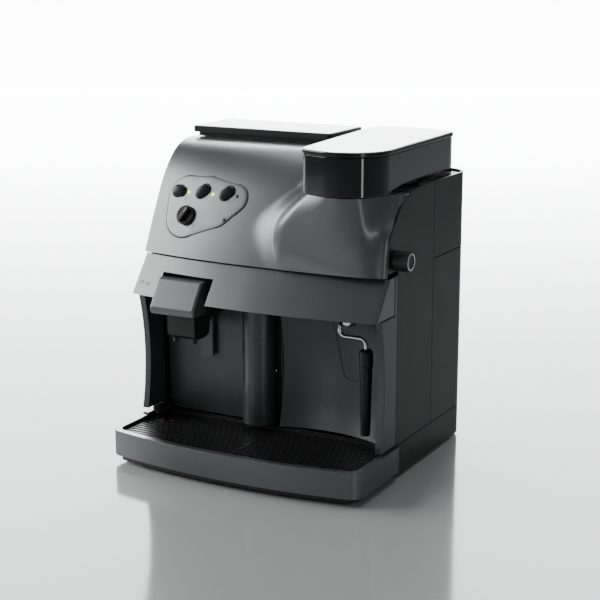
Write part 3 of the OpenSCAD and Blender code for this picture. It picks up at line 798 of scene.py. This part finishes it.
@dataclass
class Housing:
    """The fixed panels, base and decks."""

    panel_edge: float = 0.9
    base_edge: float = 1.4
    # corners of a dark rubber strip in the gap by the door's right edge, put there as painted
    # shade
    gap_shade_strip: tuple[tuple[float, float, float], ...] = ((-0.6, -53.1, 47.0), (7.0, -51.6, 243.0))
    panels: tuple[str, ...] = (
        "side_panel_left", "side_panel_right", "rear_panel_lower", "rear_panel_upper",
        "top_deck", "hopper_deck", "front_frame")

    def build(self) -> None:
        """Rounds the panels' edges, and lays a dark rubber strip in the gap behind the door's
        right edge as painted shade.
        """
        refine("base_pan", self.base_edge)
        refine("rubber_feet", 1.2)
        for node in self.panels:
            refine(node, self.panel_edge)
        for side in ("left", "right"):
            refine("front_post_" + side, self.panel_edge)
        # painted shade: a dark strip fills the gap between the grip column and the dished
        # panel, where only shade shows, and stops the light coming through it
        strip = Form().box(*self.gap_shade_strip).settled().soften(0.5, 2)
        strip.piece("door_seal", Slot.RUBBER, "housing")


@dataclass
class UpperShell:
    """The leaning front of the body with the swelling under the bean hopper."""

    half: float = 163.0
    bow_y: float = 695.0
    low: float = 246.8
    deck: float = 335.4
    lean: tuple[Point2, ...] = (
        (-107.0, 246.8), (-96.5, 270.0), (-83.0, 298.0), (-68.0, 327.0), (-55.0, 346.0),
        (-41.0, 360.5), (-29.0, 368.5), (-15.0, 373.4), (0.0, 375.0), (17.0, 375.0))
    nose: tuple[tuple[float, float, float], ...] = ((76.0, -86.0, 19.5), (104.0, -66.0, 47.0))
    wing: tuple[Point2, ...] = (
        (246.0, -98.0), (269.0, -95.6), (288.0, -92.0), (298.0, -84.5), (309.0, -72.0),
        (322.0, -61.0), (336.0, -51.5))
    edges: tuple[Point2, ...] = (
        (0.0, 34.0), (0.16, 25.0), (0.36, 20.0), (0.57, 22.0), (0.79, 36.0), (1.0, 56.6))
    nose_ends: Point2 = (56.6, 151.0)
    foot_right: float = 176.0
    foot_y: float = -103.5
    wing_from: float = 134.0
    wall: float = 2.6
    round_edge: float = 6.0
    round_flank: float = 16.0
    flank: list[Point2] = field(init=False)
    curve: list[Point2] = field(init=False)
    front_of_nose: list[Point2] = field(init=False)

    def __post_init__(self) -> None:
        """Works out the leaning profile and the front line of the nose."""
        self.flank = rounded_path(self.edges, 6)
        self.curve = rounded_path(self.lean, 7)
        (x0, y0, _), (_, y1, _) = self.nose
        self.front_of_nose = sorted(
            (x, y) for x, y in hull_of(self.nose) if y <= (y0 if x < x0 else y1) + 0.01)

    def bowed(self, x: float, y: float) -> float:
        """Carries a depth at mid width along the bow of the front.

        Args:
            x: Where across the front.
            y: The depth at mid width.

        Returns:
            The depth at x.
        """
        return self.bow_y - math.sqrt((self.bow_y - y) ** 2 - x * x)

    def lean_y(self, x: float, z: float) -> float:
        """Depth of the plain leaning face.

        Args:
            x: Where across the front.
            z: The height.

        Returns:
            The depth.
        """
        return self.bowed(x, along([(b, a) for a, b in self.curve], z))

    def swell_y(self, x: float, z: float) -> float:
        """Depth of the swelling under the hopper.

        Args:
            x: Where across the front.
            z: The height.

        Returns:
            The depth.
        """
        t = min(1.0, max(0.0, (z - self.low) / (self.deck - self.low)))
        start, end = self.nose_ends
        left = along(self.flank, t)
        right = self.foot_right + (end - self.foot_right) * t
        s = (x - left) / (right - left)
        top = along(self.front_of_nose, start + (end - start) * min(1.0, max(0.0, s)))
        foot = self.foot_y + 7.0 * max(0.0, 2 * s - 1) ** 2 + 10.0 * max(0.0, 0.25 - s) ** 2
        y = foot + (top - foot) * smooth(t) * 0.5 + (top - foot) * t * 0.5
        r = self.round_flank
        beyond = max(left - x, (min(2 * r, max(0.0, left - x + r)) ** 2) / (4 * r))
        y += beyond * (0.5 + 0.8 * t ** 3)
        y += 1.6 * max(0.0, z - self.deck)
        edge = smooth((x - self.wing_from) / (self.half - self.wing_from))
        return y + (along(self.wing, z) - y) * edge

    def blend(self, a: float, b: float, width: float) -> float:
        """The nearer of two depths, with a fillet where they cross.

        Args:
            a: One depth.
            b: The other.
            width: How far apart they may be for the fillet to start.

        Returns:
            The depth.
        """
        h = max(width - abs(a - b), 0.0) / width
        return min(a, b) - h * h * width / 4

    def face_y(self, x: float, z: float) -> float:
        """Depth of the whole front, the two faces run into each other.

        Args:
            x: Where across the front.
            z: The height.

        Returns:
            The depth.
        """
        a, b = self.lean_y(x, z), self.swell_y(x, z)
        if x > 150:  # the leaning face drops back out of the wing's way
            a = a + 400.0 * smooth((x - 150.0) / (self.half - 150.0))
        t = (z - self.low) / (self.deck - self.low)
        y = self.blend(a, b, 15.0 - 5.0 * min(1.0, t))
        turn = max(0.0, x - self.half + self.round_edge)
        return y + self.round_edge - math.sqrt(self.round_edge ** 2 - turn * turn)

    def beside_hopper(self, y: float) -> float:
        """Right end of the top beside the hopper's wall, at a depth."""
        return 52.7 - (y + 62.0) * 0.088

    def place(self, x: float, row: float) -> tuple[float, float, float]:
        """Place of a column and a row of the skin.

        Args:
            x: The column.
            row: The row, along the leaning profile.

        Returns:
            The place.
        """
        i = min(int(row), len(self.curve) - 2)
        (y0, z0), (y1, z1) = self.curve[i], self.curve[i + 1]
        y, z = y0 + (y1 - y0) * (row - i), z0 + (z1 - z0) * (row - i)
        if z <= self.deck + 0.01:
            return (x, self.face_y(x, z), z)
        y = self.blend(self.bowed(x, y), self.swell_y(x, z), 10.0)
        if x > 20:
            x = 20 + (x - 20) * (self.beside_hopper(y) - 20) / 34.0
        return (x, y, z)

    def columns(self) -> list[float]:
        """The skin's columns, close together where the faces meet and at the right edge.

        Returns:
            Their places across the front.
        """
        spans = ((-self.half, 4.2, 40), (4.9, 1.3, 34), (48.3, 0.9, 15), (62.0, 3.05, 29))
        edge = (12.0, 10.0, 8.0, 6.0, 4.8, 3.6, 2.4, 1.4, 0.7, 0.2, 0.0)
        return [start + step * i for start, step, count in spans for i in range(count)] + [
            self.half - back for back in edge]

    def build(self) -> None:
        """Lays the skin, cuts it beside the hopper and closes the shelf under it."""
        deck_row = next(
            i + (self.deck - a[1]) / (b[1] - a[1])
            for i, (a, b) in enumerate(zip(self.curve, self.curve[1:])) if b[1] > self.deck)
        count = len(self.curve) - 1
        rows = [deck_row * i / 44 for i in range(45)] + [
            r for r in range(math.ceil(deck_row + 0.3), count + 1)]
        form = Form()
        form.lattice(self.columns(), rows, self.place)
        gone = [f for f in form.bm.faces if f.calc_center_median().z > self.deck + 0.05
                and f.calc_center_median().x > self.beside_hopper(
                    f.calc_center_median().y) + 0.02]
        bmesh.ops.delete(form.bm, geom=gone, context="FACES")
        rim = [e for e in form.bm.edges if e.is_boundary and all(
            abs(v.co.z - self.deck) < 0.02 and v.co.x > 53.5 for v in e.verts)]
        for reach in (-58.0, -36.0):
            pulled = bmesh.ops.extrude_edge_only(form.bm, edges=rim)["geom"]
            rim = [g for g in pulled if isinstance(g, bmesh.types.BMEdge)]
            for v in {v for e in rim for v in e.verts}:
                v.co.y = max(v.co.y, reach if v.co.x < 150 else -50.0 + (reach + 58) * 0.6)
        form.facing_front().piece(
            "upper_shell", Slot.PAINTED_GRAPHITE, "housing", "upper_front_shell",
            wall=self.wall, edge=0.8, sharp=46.0)


# ---------------------------------------------------------------- controls

@dataclass
class ControlPanel:
    """The egg-shaped panel with its buttons, knob, lamps and printed marks."""

    shell: UpperShell
    egg: tuple[tuple[float, float, float], ...] = (
        (-111.0, 54.0, 30.0), (-118.0, 77.0, 26.0), (-88.0, 72.0, 31.0),
        (-70.0, 64.0, 26.0), (-46.0, 76.0, 18.0))
    buttons: tuple[tuple[str, float, float, float, float, float], ...] = (
        ("left", -128.4, 82.0, 20.0, 15.0, 0.0), ("middle", -92.8, 83.0, 21.0, 14.0, 40.0),
        ("right", -57.6, 82.0, 21.0, 14.0, 40.0))
    lit: tuple[Point2, ...] = ((-113.5, 80.9), (-77.5, 79.6))
    dark: tuple[Point2, ...] = ((-42.6, 79.0), (-53.3, 49.0))
    knob: Point2 = (-109.3, 51.2)
    middle: Point2 = (-92.0, 66.0)
    slope: tuple[float, float] = (0.4431, 0.8965)
    ink: float = 0.55

    def frame_at(self, u: float, v: float, turn: float = 0.0) -> Matrix:
        """A frame standing on the panel's skin.

        Args:
            u: Across the panel.
            v: Up the slope.
            turn: Turn in the panel's plane, in degrees.

        Returns:
            The frame; its third axis points out of the panel.
        """
        s, c = self.slope
        y, z = -104 + v * s, 248 + v * c
        w = 0.0
        for _ in range(6):
            w += (y - c * w - self.shell.lean_y(u, z + s * w)) * c
        face = Matrix(((1, 0, 0, u), (0, s, -c, y - c * w), (0, c, s, z + s * w),
                       (0, 0, 0, 1)))
        return face @ Matrix.Rotation(math.radians(turn), 4, "Z")

    def on_skin(self, u: float, v: float, lift: float) -> Vector:
        """A point over the panel's skin."""
        return self.frame_at(u, v) @ Vector((0, 0, lift))

    def loop(self, form: Form, points: Sequence[Point2], lift: float
             ) -> list[bmesh.types.BMEdge]:
        """A closed line over the panel's skin.

        Args:
            form: The form that it goes into.
            points: Its points in the panel's plane.
            lift: How far it stands off the skin.

        Returns:
            Its edges.
        """
        ring = [form.bm.verts.new(self.on_skin(u, v, lift)) for u, v in points]
        return [form.bm.edges.new(pair) for pair in zip(ring, ring[1:] + ring[:1])]

    def plate(self) -> None:
        """The raised plate with its rounded rim, and a near-black ring round it painted as
        the shade in the groove where it meets the shell.
        """
        form = Form()
        steps = ((1.004, -1.6), (1.0, 0.35), (0.992, 0.85), (0.978, 1.1), (0.93, 1.2),
                 (0.8, 1.2), (0.6, 1.2), (0.4, 1.2), (0.2, 1.2), (0.04, 1.2))
        outline = hull_of(self.egg, sides=72)
        cu, cv = self.middle
        rings = []
        for scale, lift in steps:
            smaller = [(cu + (u - cu) * scale, cv + (v - cv) * scale) for u, v in outline]
            rings.append(self.loop(form, smaller, lift))
        for a, b in zip(rings, rings[1:]):
            bmesh.ops.bridge_loops(form.bm, edges=a + b)
        bmesh.ops.holes_fill(form.bm, edges=rings[-1])
        form.facing_front().piece("control_plate", Slot.PAINTED_GRAPHITE, "housing",
                                  "control_panel")
        # painted shade: a near-black ring laid on the skin round the plate's edge, where the
        # groove's shade falls
        plate_edge_shade = Form()
        loops = [self.loop(plate_edge_shade, hull_of(self.egg, grow, 72), 0.06) for grow in (0.9, -0.6)]
        bmesh.ops.bridge_loops(plate_edge_shade.bm, edges=loops[0] + loops[1])
        plate_edge_shade.facing_front().piece("control_plate_joint", Extra.GROOVE, "housing")

    def keys(self) -> None:
        """Domed oval buttons, each in a near-black ring painted as the shade in the gap round
        it.
        """
        for side, u, v, length, width, turn in self.buttons:
            centres = [(s * (length - width) / 2, 0.0, width / 2) for s in (-1, 1)]
            place = self.frame_at(u, v, turn)
            form = Form().prism(hull_of(centres, -0.3, 64), -5.0, 5.4, place)
            form.settled()
            top = place @ Vector((0, 0, 5.4))
            out = place.to_3x3() @ Vector((0, 0, 1))
            form.soften(2.4, 6, where=lambda m: (m - top).dot(out) > -0.5)
            form.piece("button_cap_" + side, Slot.BLACK_GLOSS, side + "_button",
                       "button_" + side, even=False)
            # painted shade: a flat near-black ring round the button stands in for the shade
            # in its gap
            gap_shade_ring = Form().prism(hull_of(centres, 1.0, 64), 1.0, 1.45, place)
            gap_shade_ring.settled().piece(f"button_surround_{side}", Extra.GROOVE, "housing")

    def turning_knob(self) -> None:
        """The cup volume knob with its grip bar and pointer line."""
        place = self.frame_at(*self.knob, -25.0)
        base = place @ Vector((0, 0, 1.9))
        out = place.to_3x3() @ Vector((0, 0, 1))
        form = Form().spin([(0, 0), (11.6, 0), (12.0, 0.5), (12.0, 3.2), (11.3, 4.1),
                            (9.9, 4.3), (9.3, 3.7), (0, 3.5)], base, out, 72)
        grip = Form()
        centres = [(0.0, s * 7.2, 2.6) for s in (-1, 1)]
        grip.prism(hull_of(centres, 0, 48), 5.0, 11.0, place).settled()
        grip.soften(1.2, 4)
        form.settled().piece("volume_knob_disc", Slot.BLACK_SATIN, "cup_volume_knob",
                             "volume_knob")
        grip.piece("volume_knob_grip", Slot.BLACK_SATIN, "cup_volume_knob")
        Form().box((-0.4, 2.0, 10.9), (0.4, 8.6, 11.08), place).settled().piece(
            "volume_knob_pointer", Extra.WHITE_INK, "cup_volume_knob")

    def lamps(self) -> None:
        """Small domed lamp windows, two of them lit."""
        for name, spots, finish in (("lamps_lit", self.lit, Slot.LAMP_GREEN),
                                    ("lamps_dark", self.dark, Extra.LAMP_DARK)):
            form = Form()
            for u, v in spots:
                place = self.frame_at(u, v)
                form.spin([(0, -3), (2.0, -3), (2.0, 1.5), (1.6, 1.9), (0.9, 2.15), (0, 2.2)],
                          place.translation, place.to_3x3() @ Vector((0, 0, 1)), 32)
            replaced = ("indicator_lamps",) if name == "lamps_lit" else ()
            form.settled().piece(name, finish, "housing", *replaced)

    def stroke(self, form: Form, points: Sequence[Point2], place: Matrix,
               closed: bool = False) -> None:
        """Prints a line.

        Args:
            form: The form that it goes into.
            points: The points of the line, in millimetres.
            place: The frame they are in.
            closed: True to join the last to the first.
        """
        ends = list(points) + ([points[0]] if closed else [])
        for (x0, y0), (x1, y1) in zip(ends, ends[1:]):
            a, b = Vector((x0, y0, 0)), Vector((x1, y1, 0))
            mid, run = (a + b) / 2, b - a
            turn = Matrix.Rotation(math.atan2(run.y, run.x), 4, "Z")
            half = run.length / 2 + self.ink / 2
            form.box((-half, -self.ink / 2, 1.2), (half, self.ink / 2, 1.28),
                     place @ Matrix.Translation(mid) @ turn)

    def cup(self, form: Form, place: Matrix, size: float, full: bool) -> None:
        """Prints the outline of a cup.

        Args:
            form: The form that it goes into.
            place: The frame of its middle.
            size: Half its width.
            full: True for a line that shows it full.
        """
        s = size
        self.stroke(form, [(-s, s * 0.7), (-s * 0.8, -s * 0.8), (s * 0.6, -s * 0.8),
                           (s * 0.8, s * 0.7)], place, closed=True)
        self.stroke(form, [(s * 0.8, s * 0.4), (s * 1.4, s * 0.3), (s * 1.3, -s * 0.3),
                           (s * 0.7, -s * 0.4)], place)
        if full:
            self.stroke(form, [(-s * 0.85, s * 0.1), (s * 0.7, s * 0.1)], place)

    def marks(self) -> None:
        """Pictograms beside the buttons and ticks round the knob."""
        form = Form()
        self.cup(form, self.frame_at(-114.4, 72.6), 2.0, True)
        self.cup(form, self.frame_at(-77.9, 70.8), 2.0, False)
        self.cup(form, self.frame_at(-127.0, 40.0), 1.5, False)
        self.cup(form, self.frame_at(-94.0, 40.0), 2.1, True)
        drop = self.frame_at(-43.0, 69.0)
        self.stroke(form, [(0, 2.2), (-1.4, -0.6), (0, -1.7), (1.4, -0.6)], drop, True)
        for i, u in enumerate((-61.5, -57.0, -52.5, -48.0)):
            icon = self.frame_at(u, 56.0)
            if i % 2:
                self.stroke(form, [(-1.3, 1.2), (1.3, 1.2), (0.9, -1.3), (-0.9, -1.3)],
                            icon, True)
            else:
                self.stroke(form, [(0, 1.6), (-1.4, -1.2), (1.4, -1.2)], icon, True)
        centre = self.frame_at(*self.knob)
        for i in range(9):
            turn = Matrix.Rotation(math.radians(-130 + 32.5 * i), 4, "Z")
            self.stroke(form, [(0, 14.2), (0, 15.4 + 0.5 * (i % 2))], centre @ turn)
        form.settled().piece("panel_marks", Extra.WHITE_INK, "housing", even=False)

    def build(self) -> None:
        """Makes the plate and everything on it."""
        self.plate()
        self.keys()
        self.turning_knob()
        self.lamps()
        self.marks()


# ---------------------------------------------------------------- door and head

@dataclass
class ServiceDoor:
    """The hinged door: fascia band, left panel, grip column and liner."""

    fascia_edge: float = 0.8
    end_round: float = 4.5
    cup_marks: tuple[Point2, ...] = ((-153.0, 214.0), (-143.5, 213.4))
    band_face: tuple[Point2, ...] = ((200.5, -138.0), (244.5, -105.0))
    print_depth: float = 0.9

    def mark_frame(self, shell: UpperShell, x: float, z: float) -> Matrix:
        """A frame on the fascia's face.

        Args:
            shell: The upper shell, whose bow the band shares.
            x: Across the band.
            z: The height.

        Returns:
            The frame.
        """
        y = shell.bowed(x, along(self.band_face, z))
        out = Vector((x / 1000, -0.8, 0.6)).normalized()
        across = (Vector((1, 0, 0)) - out * out.x).normalized()
        up = out.cross(across)
        turn = Matrix((across, up, out)).transposed().to_4x4()
        return Matrix.Translation((x, y, z)) @ turn @ Matrix.Translation(
            (0, 0, -self.print_depth))

    def build(self, controls: ControlPanel) -> None:
        """Makes the door's pieces.

        Args:
            controls: The control panel, whose way of printing the band shares.
        """
        band = Form().copy_of("door_fascia")
        tip = controls.shell.half - 0.1
        ends = [e for e in band.bm.edges if all(abs(v.co.x) > tip for v in e.verts)
                and len(e.link_faces) == 2 and e.calc_face_angle(0.0) > 0.6
                and abs(e.verts[0].co.z - e.verts[1].co.z) > 30
                and abs(e.verts[0].co.y - e.verts[1].co.y) > 20]
        bmesh.ops.bevel(band.bm, geom=ends, offset=self.end_round, affect="EDGES",
                        segments=7, profile=0.5, clamp_overlap=False)
        band.soften(self.fascia_edge, 3, above=40.0)
        band.piece("door_fascia_skin", Slot.PAINTED_GRAPHITE, "service_door", "door_fascia")
        refine("door_panel", 0.5)
        refine("grip_column", 0.6)
        refine("door_liner", 0.4, 2)
        marks = Form()
        for i, (x, z) in enumerate(self.cup_marks):
            controls.cup(marks, self.mark_frame(controls.shell, x, z), 2.4, i == 1)
        marks.settled().piece("band_marks", Extra.WHITE_INK, "service_door", even=False)


@dataclass
class DispensingHead:
    """The head that slides up and down on the door, with its two spouts."""

    cover_edge: float = 2.6
    profile: tuple[Point2, ...] = (
        (-116.0, 225.0), (-125.0, 225.0), (-146.0, 193.0), (-144.0, 185.0), (-116.0, 185.0))

    def build(self) -> None:
        """Makes the head's pieces."""
        low, high = (Vector(c) * 1000 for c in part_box("head_cover"))
        place = Matrix(((0, 0, 1, 0), (1, 0, 0, 0), (0, 1, 0, 0), (0, 0, 0, 1)))
        hood = Form().prism(self.profile, low.x, high.x, place).settled()
        hood.soften(self.cover_edge, 6, above=20.0, where=lambda m: m.y < -117.0)
        hood.piece("head_hood", Slot.PAINTED_GRAPHITE, "dispensing_head", "head_cover",
                   sharp=50.0)
        refine("head_block", 1.2, 4)
        refine("head_nozzles", 0.4)


@dataclass
class Dregs:
    """The container for spent coffee behind the door."""

    edge: float = 1.5

    def build(self) -> None:
        """Rounds the container."""
        refine("dregs_container", self.edge, 4)


# ---------------------------------------------------------------- tray

@dataclass
class DripTray:
    """The drip tray with its rim, grill and float."""

    rim_edge: float = 1.4

    def build(self) -> None:
        """Makes the tray's pieces."""
        refine("tray_fascia", self.rim_edge, 4)
        refine("drip_tray", 0.6)
        refine("drip_grill", 0.5, 2)
        refine("tray_float", 0.8)


# ---------------------------------------------------------------- steam

@dataclass
class Steam:
    """The hollow panel, the pivoting wand and the steam knob."""

    def build(self) -> None:
        """Makes the steam pieces."""
        refine("dished_panel", 0.5)
        refine("steam_pipe_cover", 0.5)
        for node in ("ball_seat", "steam_pipe"):
            refine(node, 0.3)
        refine("frother_collar", 0.8, 3)
        refine("frother_sleeve", 0.8, 3)
        refine("steam_knob", 0.9, 4)
        refine("knob_ring", 0.3)


# ---------------------------------------------------------------- beans and water

@dataclass
class BeanHopper:
    """The smoked hopper with its funnel, adjuster and lid."""

    plan: tuple[tuple[float, float, float], ...] = (
        (76.0, -86.0, 20.0), (104.0, -66.0, 48.0), (136.0, 122.0, 11.0),
        (66.0, 116.0, 28.0), (92.0, 124.0, 22.0))

    def build(self) -> None:
        """Makes the hopper's pieces."""
        refine("bean_hopper", 0.6)
        refine("hopper_funnel", 0.8)
        refine("grind_adjuster", 0.6)
        rim = Form().prism(hull_of(self.plan, 1.5, 96), 381.0, 386.3)
        rim.settled().soften(1.3, 4)
        rim.prism(hull_of(self.plan, -3.2, 96), 379.9, 381.4).settled()
        rim.piece("hopper_lid_rim", Slot.BLACK_GLOSS, "hopper_cover", "hopper_lid")
        top = Form().prism(hull_of(self.plan, 0.2, 96), 385.0, 387.0)
        top.settled().soften(0.8, 4, where=lambda m: m.z > 386)
        top.piece("hopper_lid_top", Slot.SILVER_PLASTIC, "hopper_cover")


@dataclass
class Water:
    """The lift-out tank and its hinged cover."""

    plate: float = 0.7

    def build(self) -> None:
        """Makes the tank's pieces."""
        refine("water_tank", 1.0)
        low, high = (Vector(c) * 1000 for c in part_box("tank_cover"))
        frame_form = Form().copy_of("tank_cover")
        for v in frame_form.bm.verts:
            if v.co.z > high.z - 0.1:
                v.co.z -= self.plate
        frame_form.soften(1.1, 4)
        frame_form.piece("tank_cover_frame", Slot.BLACK_SATIN, "tank_lid", "tank_cover")
        corners = [(x, y, 3.0) for x in (low.x + 4.2, high.x - 4.2)
                   for y in (low.y + 4.2, high.y - 4.2)]
        top = Form().prism(hull_of(corners, 0, 48), high.z - 2.0, high.z)
        top.settled().soften(0.7, 4, where=lambda m: m.z > high.z - 1)
        top.piece("tank_cover_top", Slot.SILVER_PLASTIC, "tank_lid")


# ---------------------------------------------------------------- inside and studio

@dataclass
class Internals:
    """Everything that shows only with the door open or from below."""

    def build(self) -> None:
        """Gives every CAD node still showing its finish."""
        for node, obj in frame["nodes"].items():
            obj.data.materials.clear()
            obj.data.materials.append(material(slot_named(SLOT_OF[node])))
        refine("power_switch", 0.5)
        refine("power_inlet", 0.5)


@dataclass
class Studio:
    """Pale floor, soft light and the camera."""

    eye: tuple[float, float, float] = (0.82453, -1.51764, 0.59472)
    aim: tuple[float, float, float] = (0.00254, 0.0, 0.18510)
    lens: float = 86.735
    reach: float = 12.0
    far: float = 5.0
    width: float = 1.75
    high: float = 4.0
    world: Colour = (0.86, 0.92, 0.95)
    world_strength: float = 0.16

    def sheet(self, name: str, finish: Extra, rim: Sequence[Sequence[float]]) -> None:
        """A flat sheet of the studio.

        Args:
            name: The sheet's name.
            finish: Its finish.
            rim: Its corners, in metres.
        """
        mesh = bpy.data.meshes.new(name)
        mesh.from_pydata([tuple(c) for c in rim], [], [tuple(range(len(rim)))])
        mesh.materials.append(material(finish))
        obj = bpy.data.objects.new(name, mesh)
        bpy.context.scene.collection.objects.link(obj)

    def light(self, name: str, at: Sequence[float], aim: Sequence[float],
              size: tuple[float, float], power: float) -> None:
        """Hangs a soft box.

        Args:
            name: The light's name.
            at: Where it hangs.
            aim: What it looks at.
            size: Its width and height.
            power: Its power in watts.
        """
        lamp = bpy.data.lights.new(name, "AREA")
        lamp.shape, lamp.size, lamp.size_y = "RECTANGLE", *size
        lamp.energy = power
        obj = bpy.data.objects.new(name, lamp)
        obj.location = at
        obj.rotation_euler = (Vector(at) - Vector(aim)).to_track_quat("Z", "Y").to_euler()
        bpy.context.scene.collection.objects.link(obj)

    def build(self) -> None:
        """Sets up floor, lights, world and camera."""
        r = self.reach
        self.sheet("floor", Extra.FLOOR, ((-r, -r, 0), (r, -r, 0), (r, r, 0), (-r, r, 0)))
        back, aside = Vector((*BEHIND, 0)), Vector((BEHIND[1], -BEHIND[0], 0))
        foot = (back * self.far - aside * self.width, back * self.far + aside * self.width)
        up = Vector((0, 0, self.high))
        self.sheet("backdrop", Extra.BACKDROP, (*foot, foot[1] + up, foot[0] + up))
        centre = (0.0, 0.0, 0.2)
        self.light("key", (-1.9, -0.7, 1.1), centre, (1.5, 1.3), 50.0)
        self.light("front_fill", (-0.9, -2.4, 0.5), (0.0, 0.0, 0.15), (0.9, 0.5), 2.0)
        self.light("strip_right", (1.5, -1.0, 0.6), centre, (0.16, 1.5), 3.0)
        self.light("overhead", (-0.1, 0.5, 1.9), centre, (1.6, 1.2), 14.0)
        world = bpy.data.worlds.new("studio")
        world.use_nodes = True
        sky = world.node_tree.nodes["Background"]
        sky.inputs["Color"].default_value = (*self.world, 1.0)
        sky.inputs["Strength"].default_value = self.world_strength
        bpy.context.scene.world = world
        data = bpy.data.cameras.new("camera")
        data.lens, data.sensor_width = self.lens, 36.0
        data.clip_start, data.clip_end = 0.05, 50.0
        camera = bpy.data.objects.new("camera", data)
        camera.location = self.eye
        camera.rotation_euler = (Vector(self.eye) - Vector(self.aim)).to_track_quat(
            "Z", "Y").to_euler()
        bpy.context.scene.collection.objects.link(camera)
        bpy.context.scene.camera = camera


def main() -> None:
    """Builds the machine's looks in order."""
    logging.basicConfig(level=logging.INFO, format="%(name)s: %(message)s")
    Studio().build()
    Internals().build()
    Housing().build()
    shell = UpperShell()
    shell.build()
    controls = ControlPanel(shell)
    controls.build()
    ServiceDoor().build(controls)
    DispensingHead().build()
    Dregs().build()
    DripTray().build()
    Steam().build()
    BeanHopper().build()
    Water().build()


if __name__ == "__main__":
    main()
